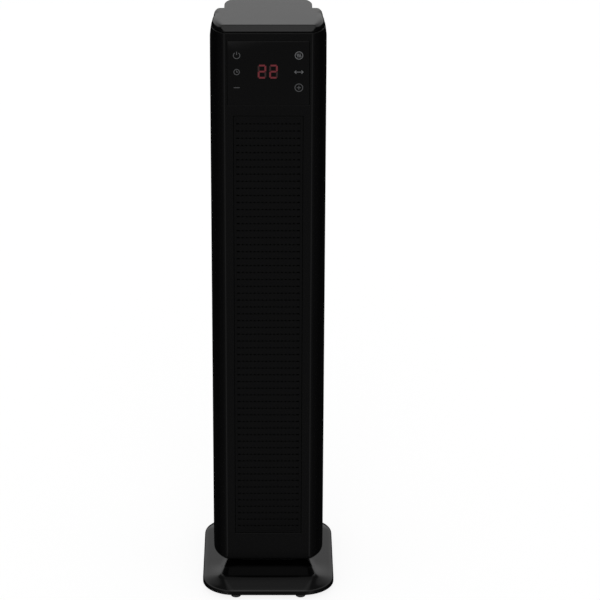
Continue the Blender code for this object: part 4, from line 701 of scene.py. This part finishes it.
rearShape = {
    "slotLow": 150.0, "slotHigh": 522.0, "slotPitch": 12.0, "slot": 3.6, "slotHalf": 34.0,
    "gripHalf": 32.3, "gripTall": 17.3, "gripZ": 583.0, "gripCorner": 5.0,
    "rockerHalf": 8.0, "rockerTall": 11.5, "rockerZ": 92.0, "rockerCorner": 0.6,
    "glandZ": 64.0, "gland": 7.0, "wellX": 13.0, "wellZ": (120.0, 542.0), "well": 3.8,
    "hoodSeam": (553.7, 554.0), "rows": (60.0, 100.0, 600.0), "topShare": 0.6,
    "cut": (40.0, 70.0), "bevel": 0.18,
}


# The rear case is a grid with a column line at the slots' ends and rows through each slot;
# the end columns swing in by r (1 - sqrt(1 - t^2)), which rounds the slots' ends.
def makeRearShell():
    r = rearShape
    line = loopLine(rearHalf(plan["rearStart"]))
    radius, half = plan["rearCorner"], r["slot"] / 2
    centreX, centreY = plan["rearHalf"] - radius, plan["rearY"] - radius
    count = int((r["slotHigh"] - r["slotLow"]) / r["slotPitch"])
    middles = r["slotLow"] + half + np.arange(count) * r["slotPitch"]
    slotRows = (middles[:, None] + np.array([-1, -0.71, 0, 0.71, 1]) * half).ravel()
    turn = math.acos((r["slotHalf"] - centreX) / radius)
    endPoint = np.array([r["slotHalf"], centreY + radius * math.sin(turn)])
    near = np.argmin(np.linalg.norm(line - endPoint, axis=1))
    far = len(line) - 1 - near
    line[near] = endPoint
    line[far] = endPoint * (-1, 1)
    rows = np.sort(np.concatenate([r["rows"], slotRows, r["hoodSeam"]]))
    grid = loftGrid(line, shellLevels(rows, r["topShare"]))
    away = np.abs(grid[:, :1, 2] - middles[None, :]).min(axis=1)
    inSlot = away <= half + 0.01
    pull = half * (1 - np.sqrt(1 - np.clip(away / half, 0, 1) ** 2))
    angle = turn + np.where(inSlot, pull, 0) / radius
    grid[:, near, 0] = np.where(inSlot, centreX + radius * np.cos(angle), grid[:, near, 0])
    grid[:, near, 1] = np.where(inSlot, centreY + swingY + radius * np.sin(angle), grid[:, near, 1])
    grid[:, far, 0] = -grid[:, near, 0]
    grid[:, far, 1] = grid[:, near, 1]
    between = (grid[:-1, 0, 2] + grid[1:, 0, 2]) / 2
    slotRow = np.abs(between[:, None] - middles[None, :]).min(axis=1) < half
    seamRow = (between > r["hoodSeam"][0]) & (between < r["hoodSeam"][1])
    columns = np.arange(len(line) - 1)
    slotColumn = (columns >= near) & (columns < far)
    keep = ~((slotRow[:, None] & slotColumn[None, :]) | seamRow[:, None])
    piece = addPiece(
        "rearCase", gridMesh("rearCase", grid, keep=keep), "tower", "black_textured",
        replaced=["rear_shell", "rear_hood"],
    )
    addWall(piece, plan["wall"])
    settle(piece)
    grip = roundRect(r["gripHalf"], r["gripTall"], r["gripCorner"]) + (0, r["gripZ"])
    switch = roundRect(r["rockerHalf"], r["rockerTall"], r["rockerCorner"]) + (0, r["rockerZ"])
    tools = [cutterMesh(grip), cutterMesh(switch), drillMesh(0, r["glandZ"], r["gland"])]
    tools += [drillMesh(x, z, r["well"]) for x in (-r["wellX"], r["wellX"]) for z in r["wellZ"]]
    cutAway(piece, *tools)
    addBevel(piece, r["bevel"], 1, 50.0)


capShape = {
    "inset": 0.35, "round": 1.4, "flatRing": 1.5, "planeDrop": 6.6, "planeDepth": 4.0, "bevel": 0.5,
}


# Cap: the tower's plan, rounded over at the top, far more so along the flanks, then planed off
# along the front edge.
def makeCap():
    c, p = capShape, plan
    line = towerLine()
    share = flankShare(line)
    lead = p["top"] - c["round"] - p["capLow"]
    levels = [(p["capLow"] + lead * t, 0.0) for t in np.linspace(0, 1, 8)[:-1]]
    for turn in np.linspace(0, math.pi / 2, 9):
        levels.append((p["top"] - c["round"] * (1 - math.sin(turn)), c["round"] * (1 - math.cos(turn))))
    levels.append((p["top"], c["round"] + c["flatRing"]))    # the top starts flat inside this ring
    levels = [(z, c["inset"] + inward + roundOver(share, z)) for z, inward in levels]
    mesh = gridMesh("topCap", loftGrid(line, levels, True), closed=True, capLow=True, capHigh=True)
    shape = bmesh.new()
    shape.from_mesh(mesh)
    bmesh.ops.recalc_face_normals(shape, faces=shape.faces)
    normal = Vector((0, -c["planeDrop"], c["planeDepth"])).normalized()
    through = Vector((0, p["frontY"] + swingY, p["top"] - c["planeDrop"])) * mm
    everything = shape.verts[:] + shape.edges[:] + shape.faces[:]
    cutLine = bmesh.ops.bisect_plane(
        shape, geom=everything, plane_co=through, plane_no=normal, clear_outer=True,
    )
    edges = [e for e in cutLine["geom_cut"] if isinstance(e, bmesh.types.BMEdge)]
    bmesh.ops.edgeloop_fill(shape, edges=edges)
    bmesh.ops.recalc_face_normals(shape, faces=shape.faces)
    shape.to_mesh(mesh)
    shape.free()
    piece = addPiece("topCap", mesh, "tower", "black_gloss", replaced=["top_cap"], smooth=22.0)
    addBevel(piece, c["bevel"], 3, 20.0)


neckShape = {"frontInset": 3.4, "frontEnd": 3.5, "rearInset": 4.1, "low": 638.0, "high": 642.8}


# The cap's neck, seen as a dark line under the cap.
def makeNeck():
    n = neckShape
    front = offsetLine(frontHalf(), n["frontInset"])
    back = offsetLine(rearHalf(plan["rearStart"]), n["rearInset"])
    line = loopLine(np.concatenate([front[front[:, 1] < n["frontEnd"]], back]))
    mesh = ringMesh("capNeck", loftGrid(line, [(n["low"], 0.0), (n["high"], 0.0)], True))
    addPiece("capNeck", mesh, "tower", "black_matte")


makeFrontShell()
makeRearShell()
makeCap()
makeNeck()

print("stage 5: base")

baseShape = {
    "halfX": 73.4, "halfY": 89.0, "frontRadius": 36.0, "rearRadius": 33.0, "low": 5.0,
    "rim": 3.5, "round": 4.0, "wall": 2.2, "bevel": 0.3,
    "crestX": 54.0, "crestY": 77.0, "crestFrontRadius": 5.0, "crestRearRadius": 24.0,
    "crestTop": 22.0, "crestDrop": 2.8, "dropStart": -76.0, "dropEnd": -40.0,
    "topX": 40.0, "topFront": 43.0, "topRear": 60.0, "topFrontRadius": 10.0, "topRearRadius": 24.0,
    "top": 26.4, "edge": 1.6, "hole": 13.3, "before": 0.25, "after": 0.12,
}


# Rectangle with one radius at the front corners and another at the rear ones.
def baseOutline(half, front, rear, frontRadius, rearRadius):
    quarter, steps = math.pi / 2, 17
    nearArc = arcLine(half - frontRadius, frontRadius - front, frontRadius, -quarter, 0, steps)
    farArc = arcLine(half - rearRadius, rear - rearRadius, rearRadius, 0, quarter, steps)
    return loopLine(np.concatenate([nearArc, np.linspace(nearArc[-1], farArc[0], steps)[1:-1], farArc]))


# A plan line as a ring of points at one height.
def levelRing(line, z):
    return np.column_stack([line, np.full(len(line), z)])


# Rim wall, rounding and bevel up to the crest, then a top that rises gently to the plinth. The crest
# is a quadratic curve per point: (1 - t)^2 before + 2 t (1 - t) crest + t^2 after. It drops along
# the sides, so that only the front keeps a bevel.
def makeBase():
    b = baseShape
    rim = baseOutline(b["halfX"], b["halfY"], b["halfY"], b["frontRadius"], b["rearRadius"])
    crestLine = baseOutline(
        b["crestX"], b["crestY"], b["crestY"], b["crestFrontRadius"], b["crestRearRadius"],
    )
    top = baseOutline(b["topX"], b["topFront"], b["topRear"], b["topFrontRadius"], b["topRearRadius"])
    plinth = offsetLine(top, -b["edge"], True)
    rimTop = b["low"] + b["rim"]
    rings = [levelRing(rim, b["low"]), levelRing(rim, rimTop)]
    for turn in np.radians(np.linspace(5, 45, 8)):
        ring = offsetLine(rim, b["round"] * (1 - math.cos(turn)), True)
        rings.append(levelRing(ring, rimTop + b["round"] * math.sin(turn)))
    shoulder, crest = rings[-1], levelRing(crestLine, b["crestTop"])
    crest[:, 2] -= b["crestDrop"] * smoothStep(crest[:, 1], b["dropStart"], b["dropEnd"])
    high = levelRing(plinth, b["top"] - b["edge"] / 2)
    before = crest + (shoulder - crest) * b["before"]
    after = crest + (high - crest) * b["after"]
    rings += [shoulder + (before - shoulder) * t for t in (0.33, 0.67)]
    rings += [before * (1 - t) ** 2 + crest * 2 * t * (1 - t) + after * t ** 2 for t in np.linspace(0, 1, 9)]
    rings += [after + (high - after) * t for t in np.linspace(0, 1, 13)[1:]]
    for turn in np.radians((30, 60, 90)):
        ring = offsetLine(plinth, b["edge"] * math.sin(turn), True)
        rings.append(levelRing(ring, b["top"] - b["edge"] / 2 * math.cos(turn)))
    around = np.arctan2(top[:, 1] - swingY, top[:, 0])
    hole = np.stack([b["hole"] * np.cos(around), swingY + b["hole"] * np.sin(around)], axis=1)
    grid = np.array([*rings, levelRing(hole, b["top"])])
    piece = addPiece(
        "baseCover", gridMesh("baseCover", grid, closed=True), "base", "black_gloss", replaced=["base_cover"],
    )
    addWall(piece, b["wall"])
    settle(piece)
    addBevel(piece, b["bevel"], 2, 60.0)


makeBase()

print("stage 6: outlet grille")

grilleShape = {
    "half": 36.7, "low": 62.3, "high": 551.7, "border": 3.0, "front": -57.5, "back": -54.4,
    "corner": 1.0, "innerCorner": 0.6, "edge": 0.3, "overlap": 0.5,
    "pitch": 8.0, "blade": 7.0, "bladeBack": 0.25, "bladeEdge": 0.45, "taper": 0.9, "endInset": 0.6,
    "ribPitch": 4.2, "ribSteps": 7, "rib": 2.8, "ribBack": 0.3, "ribInset": 2.6,
    "openLow": 123.0, "openHigh": 539.0, "blindNear": -0.4, "blindFar": 0.6, "blindEdge": 0.2,
}


# One slat's section in (depth, height): a flat front with rounded edges, thinner to the back.
def slatSection(height, depth):
    turn = np.linspace(0, math.pi / 2, 4)
    r = grilleShape["bladeEdge"]
    upper = np.stack([r - r * np.sin(turn), height / 2 - r + r * np.cos(turn)], axis=1)
    half = np.concatenate([[[depth, height / 2 - grilleShape["taper"]]], upper])
    return np.concatenate([half, half[::-1] * (1, -1)])


# Bars of one section: along x at the given heights, or along z at the given x.
def barsMesh(name, section, places, low, high, frontY, upright=False):
    n = len(section)
    points, faces = [], []
    along, across = (2, 0) if upright else (0, 2)
    for number, place in enumerate(places):
        grid = np.zeros((2, n, 3))
        grid[:, :, along] = np.array([[low], [high]])
        grid[:, :, across] = section[:, 1] + place
        grid[:, :, 1] = section[:, 0] + frontY + swingY
        near = number * 2 * n + np.arange(n)
        far = near + n
        faces += np.stack([near, np.roll(near, -1), np.roll(far, -1), far], axis=1).tolist()
        faces += [near[::-1].tolist(), far.tolist()]
        points.append(grid.reshape(-1, 3))
    mesh = bpy.data.meshes.new(name)
    mesh.from_pydata((np.concatenate(points) * mm).tolist(), [], faces)
    fixNormals(mesh)
    return mesh


# The frame, its slats, the ribs behind them, and blinds behind the ends where no air comes out.
def makeGrille():
    g, dark = grilleShape, ("tower", "black_matte", finishes["outlet"])
    middle, tall = (g["high"] + g["low"]) / 2, (g["high"] - g["low"]) / 2
    innerHalf, innerTall = g["half"] - g["border"], tall - g["border"]
    outer = roundRect(g["half"], tall, g["corner"], 4)
    inner = roundRect(innerHalf, innerTall, g["innerCorner"], 4)
    shoulder = g["front"] + g["edge"]
    rings = [
        (outer, g["back"]), (outer, shoulder), (offsetLine(outer, g["edge"], True), g["front"]),
        (offsetLine(inner, -g["edge"], True), g["front"]), (inner, shoulder), (inner, g["back"]),
        (outer, g["back"]),
    ]
    grid = np.array([uprightRow(ring, y, middle) for ring, y in rings])
    mesh = gridMesh("grilleFrame", grid, closed=True)
    fixNormals(mesh)
    addPiece("grilleFrame", mesh, *dark, replaced=["outlet_grille"])
    count = int(2 * innerTall / g["pitch"] + 0.01)
    slats = middle + (np.arange(count + 1) - count / 2) * g["pitch"]
    slats = np.clip(slats, middle - innerTall + g["endInset"], middle + innerTall - g["endInset"])
    reach = innerHalf + g["overlap"]
    front = g["front"] + g["bladeBack"]
    section = slatSection(g["blade"], g["back"] - front)
    addPiece("grilleSlats", barsMesh("grilleSlats", section, slats, -reach, reach, front), *dark)
    front += g["ribBack"]
    ribs = np.arange(-g["ribSteps"], g["ribSteps"] + 1) * g["ribPitch"]
    section = slatSection(g["rib"], g["back"] - front)
    low, high = g["low"] + g["ribInset"], g["high"] - g["ribInset"]
    addPiece("grilleRibs", barsMesh("grilleRibs", section, ribs, low, high, front, True), *dark)
    inset = g["border"] - g["overlap"]
    spans = {
        "grilleBlindLow": (g["low"] + inset, g["openLow"]),
        "grilleBlindHigh": (g["openHigh"], g["high"] - inset),
    }
    for name, (low, high) in spans.items():
        outline = roundRect(reach, (high - low) / 2, 0.5, 3) + (0, (high + low) / 2)
        near, far = g["back"] + g["blindNear"], g["back"] + g["blindFar"]
        addPiece(name, plateMesh(name, outline, near, far, g["blindEdge"], 1), *dark)


makeGrille()

print("stage 7: touch panel")

panelShape = {
    "half": 42.8, "low": 563.8, "high": 633.2, "front": -58.0, "back": -54.4, "corner": 0.5, "edge": 0.35,
}


def makePanel():
    s = panelShape
    middle, tall = (s["high"] + s["low"]) / 2, (s["high"] - s["low"]) / 2
    outline = roundRect(s["half"], tall, s["corner"]) + (0, middle)
    mesh = plateMesh("touchLens", outline, s["front"], s["back"], s["edge"])
    addPiece("touchLens", mesh, "tower", "smoked_panel", replaced=["control_panel"])


def roundStroke(x, z, radius, start=0.0, end=360.0):
    return arcLine(x, z, radius, math.radians(start), math.radians(end), 24)


signs = {
    "width": 0.8, "proud": 0.04, "depth": 0.03, "leftX": -33.0, "rightX": 32.0,
    "rows": (618.0, 600.0, 583.0),
}


# Generic key signs, their sizes in mm about each key's middle: power, timer and minus on the left;
# warm air, swing and plus on the right.
def signPaths():
    left, right = signs["leftX"], signs["rightX"]
    high, middle, low = signs["rows"]
    dim = [
        roundStroke(left, high, 3.4, 125, 415), [(left, high + 0.6), (left, high + 4.2)],
        roundStroke(left, middle, 2.9), [(left, middle + 1.7), (left, middle), (left + 1.5, middle)],
        [(left - 3.2, low), (left + 3.2, low)],
        roundStroke(right, low, 4.1), [(right - 2.1, low), (right + 2.1, low)],
        [(right, low - 2.1), (right, low + 2.1)],
    ]
    sway, rise = 0.5 * np.sin(np.linspace(0, 2 * math.pi, 9)), np.linspace(-2, 2, 9)
    waves = [np.stack([right + x + sway, high + rise], axis=1) for x in (-1.5, 0, 1.5)]
    bright = [roundStroke(right, high, 4.0), *waves, [(right - 4.2, middle), (right + 4.2, middle)]]
    for side in (-1, 1):
        tip = right + side * 4.4
        back = tip - side * 1.7
        bright.append([(back, middle + 1.7), (tip, middle), (back, middle - 1.7)])
    return dim, bright


# Printed strokes as flat strips that face forwards, half a width to each side of their paths.
def strokesMesh(name, paths, width, nearY):
    points, faces, start = [], [], 0
    for path in paths:
        path = np.array(path, float)
        grid = np.array([uprightRow(offsetLine(path, side * width / 2), nearY) for side in (1, -1)])
        n = len(path)
        index = start + np.arange(2 * n).reshape(2, n)
        faces += np.stack([index[0, :-1], index[0, 1:], index[1, 1:], index[1, :-1]], axis=1).tolist()
        points += (grid.reshape(-1, 3) * mm).tolist()
        start += 2 * n
    mesh = bpy.data.meshes.new(name)
    mesh.from_pydata(points, [], faces)
    shape = bmesh.new()
    shape.from_mesh(mesh)
    for face in shape.faces:
        if face.normal.y > 0:
            face.normal_flip()
    shape.to_mesh(mesh)
    shape.free()
    return mesh


digit = {"x": (-6.55, 5.45), "z": 600.5, "half": 3.5, "tall": 6.6, "bar": 1.9, "gap": 0.35}


# Strokes of both digits; bars holds the letters a to g of the wanted ones.
def digitPaths(bars):
    w, h, g = digit["half"], digit["tall"], digit["gap"]
    ends = {
        "a": ((-w + g, h), (w - g, h)), "g": ((-w + g, 0), (w - g, 0)), "d": ((-w + g, -h), (w - g, -h)),
        "f": ((-w, h - g), (-w, g)), "b": ((w, h - g), (w, g)),
        "e": ((-w, -g), (-w, -h + g)), "c": ((w, -g), (w, -h + g)),
    }
    return [[(x + p, digit["z"] + q) for p, q in ends[bar]] for x in digit["x"] for bar in bars]


def makeSigns():
    nearY = panelShape["front"] - signs["proud"]
    dim, bright = signPaths()
    white, key, bar = (0.9, 0.92, 0.95), signs["width"], digit["bar"]
    jobs = (
        # The dim key signs are print with a faint painted glow in place of lamplight on the ink.
        ("keySigns", dim, key, "keyPrint", white, 0.055, "smoked_panel"),
        ("keySignsLit", bright, key, "keyPrintBright", white, 0.10, "smoked_panel"),
        ("digitStrokes", digitPaths("abged"), bar, "digitRed", (1.0, 0.085, 0.13), 0.115, "display_dark"),
        # The unlit digit bars get a faint painted glow, standing in for light on the dark segments.
        ("unlitBarsPaintedGlow", digitPaths("fc"), bar, "digitUnlitPaintedGlow", (1.0, 0.12, 0.14), 0.018, "display_dark"),
    )
    for name, strokes, width, finishName, colour, glow, slotName in jobs:
        mesh = strokesMesh(name, strokes, width, nearY)
        finish = glowFinish(finishName, colour, glow)
        piece = addPiece(name, mesh, "tower", slotName, finish, smooth=None)
        addWall(piece, signs["depth"], 1.0)


makePanel()
makeSigns()

print("stage 8: back and feet")


# A turned piece: the profile (radius, height) carried round the axis on an even grid of angles.
def turnedMesh(name, profile, steps, along, centre):
    turn = np.linspace(0, 2 * math.pi, steps + 1)[:-1]
    grid = np.zeros((len(profile), steps, 3))
    across = (profile[:, :1] * np.cos(turn), profile[:, :1] * np.sin(turn), profile[:, 1:] + 0 * turn)
    order = {"z": (0, 1, 2), "y": (0, 2, 1)}[along]
    for axis, values in zip(order, across):
        grid[:, :, axis] = values
    grid += np.array(centre)
    if profile[0, 0] > 0.01:      # a profile that starts off the axis closes on itself
        grid = np.concatenate([grid, grid[:1]])
    mesh = gridMesh(name, grid, closed=True)
    fixNormals(mesh)
    return mesh


# Profile corners rounded by r: each corner becomes a short quadratic curve between its sides.
def softened(profile, radius, closed=False):
    points = np.array(profile, float)
    out, n = [], len(points)
    for i in range(n):
        if not closed and i in (0, n - 1):
            out.append(points[i])
            continue
        before, here, after = points[i - 1], points[i], points[(i + 1) % n]
        a, b = before - here, after - here
        lengthA, lengthB = np.linalg.norm(a), np.linalg.norm(b)
        r = min(radius, lengthA / 2.1, lengthB / 2.1)
        start, end = here + a / lengthA * r, here + b / lengthB * r
        for t in np.linspace(0, 1, 4):
            out.append((1 - t) ** 2 * start + 2 * t * (1 - t) * here + t ** 2 * end)
    return np.array(out)


footShape = {
    "x": 36.0, "y": (-79.5, 76.0), "radius": 5.5, "top": 6.1, "dish": 3.6, "dishDepth": 0.5, "round": 0.5,
}


def makeFeet():
    f = footShape
    profile = softened([
        (0, f["top"]), (f["radius"], f["top"]), (f["radius"], 0), (f["dish"], 0),
        (f["dish"], f["dishDepth"]), (0, f["dishDepth"]),
    ], f["round"])
    places = [(x, y) for y in f["y"] for x in (-f["x"], f["x"])]
    for number, (x, y) in enumerate(places, 1):
        mesh = turnedMesh(f"foot{number}", profile, 36, "z", (x, y, 0))
        addPiece(f"foot{number}", mesh, "base", "rubber", replaced=[f"rubber_foot_{number}"])


# The profile is in (radius, distance behind the rear case).
glandShape = {
    "round": 0.6, "profile": (
        (3.6, 2.6), (7.2, 2.6), (9.0, 0.9), (9.0, 0.3), (6.7, 0.3), (6.7, -8.2), (3.6, -8.2),
    ),
}


def makeGland():
    profile = softened(glandShape["profile"], glandShape["round"], True)
    mesh = turnedMesh("cordGland", profile, 44, "y", (0, plan["rearY"] + swingY, rearShape["glandZ"]))
    addPiece("cordGland", mesh, "tower", "rubber", replaced=["cord_gland"])


# The steps are (inward, behind the rear case, whether the ring follows the case's round corners).
gripShape = {
    "half": 32.0, "tall": 17.0, "corner": 4.8, "leastCorner": 0.4,
    "steps": (
        (0.0, -23.0, False), (0.0, -0.4, True), (0.3, -0.05, True), (1.4, -0.05, True),
        (2.0, -0.6, True), (2.2, -3.0, True), (3.2, -18.6, False), (4.2, -20.6, False),
        (6.5, -21.6, False), (8.0, -21.6, False),
    ),
}


# The rear case's y at the given x: flat in the middle, a circle's arc at the corners.
def rearAt(x):
    radius = plan["rearCorner"]
    over = np.clip(np.abs(x) - (plan["rearHalf"] - radius), 0, None)
    return plan["rearY"] - radius + np.sqrt(np.clip(radius ** 2 - over ** 2, 1, None))


# Grip cup: rings of a rounded rectangle that step in, go down the pocket and close its floor.
def makeGrip():
    g = gripShape
    rows = []
    for inward, behind, follows in g["steps"]:
        corner = max(g["corner"] - inward, g["leastCorner"])
        ring = roundRect(g["half"] - inward, g["tall"] - inward, corner, 8)
        y = (rearAt(ring[:, 0]) if follows else plan["rearY"]) + behind
        rows.append(uprightRow(ring, y, rearShape["gripZ"]))
    addPiece("gripCup", ringMesh("gripCup", rows), "tower", "black_matte", replaced=["grip_cup"])


rockerShape = {
    "half": 5.7, "tall": 9.2, "corner": 0.5, "frame": 2.0, "flange": 2.0,
    "depth": 16.0, "seat": 0.3, "proud": 1.2, "edge": 0.4, "floor": 47.2,
    "axisY": 52.0, "tilt": 8.0, "keyHalf": 5.0, "keyEnd": 8.42, "keyTop": 4.4, "keyNear": -3.0,
    "valleyHalf": 8.5, "keyRound": 0.5, "keyEdges": ((0.0, 0.35), (0.1, 0.1), (0.35, 0.0)),
}


def makeRockerFrame():
    r = rockerShape
    rear, flange = plan["rearY"], r["frame"] + r["flange"]
    hole = roundRect(r["half"], r["tall"], r["corner"], 4)
    steps = (
        (r["frame"], rear - r["depth"]), (r["frame"], rear + r["seat"]), (flange, rear + r["seat"]),
        (flange, rear + r["proud"] - r["edge"]), (flange - r["edge"], rear + r["proud"]),
        (r["edge"], rear + r["proud"]), (0.0, rear + r["proud"] - r["edge"]), (0.0, r["floor"]),
    )
    rows = [uprightRow(offsetLine(hole, -outward, True), y, rearShape["rockerZ"]) for outward, y in steps]
    mesh = ringMesh("rockerFrame", rows)
    addPiece("rockerFrame", mesh, "tower", "black_matte", replaced=["rocker_housing"])


# Rocker: its side view has two faces in a shallow valley and a round back, and it stands tilted.
# Its outermost sections are moved inwards, which rounds the edges.
def makeRocker():
    r = rockerShape
    tilt, half, end, top = math.radians(r["tilt"]), r["keyHalf"], r["keyEnd"], r["keyTop"]
    valley = top - r["valleyHalf"] * math.tan(tilt)
    side = [
        (r["keyNear"], -end / 2), (r["keyNear"], end / 2), (0, end), (top, end), (valley, 0), (top, -end),
        (0, -end),
    ]
    side = softened(side[::-1], r["keyRound"], True)
    turned = np.stack([
        side[:, 0] * math.cos(tilt) - side[:, 1] * math.sin(tilt),
        side[:, 0] * math.sin(tilt) + side[:, 1] * math.cos(tilt),
    ], axis=1) + (r["axisY"] + swingY, rearShape["rockerZ"])
    sections = [(step - half, inward) for step, inward in r["keyEdges"]]
    sections += [(half - step, inward) for step, inward in r["keyEdges"][::-1]]
    rings = [(x, offsetLine(turned, inward, True)) for x, inward in sections]
    rows = [np.column_stack([np.full(len(ring), x), ring]) for x, ring in rings]
    addPiece("rockerKey", ringMesh("rockerKey", rows), "rocker_body", "black_gloss", replaced=["rocker"])


makeFeet()
makeGland()
makeGrip()
makeRockerFrame()
makeRocker()

print("stage 9: scene built")
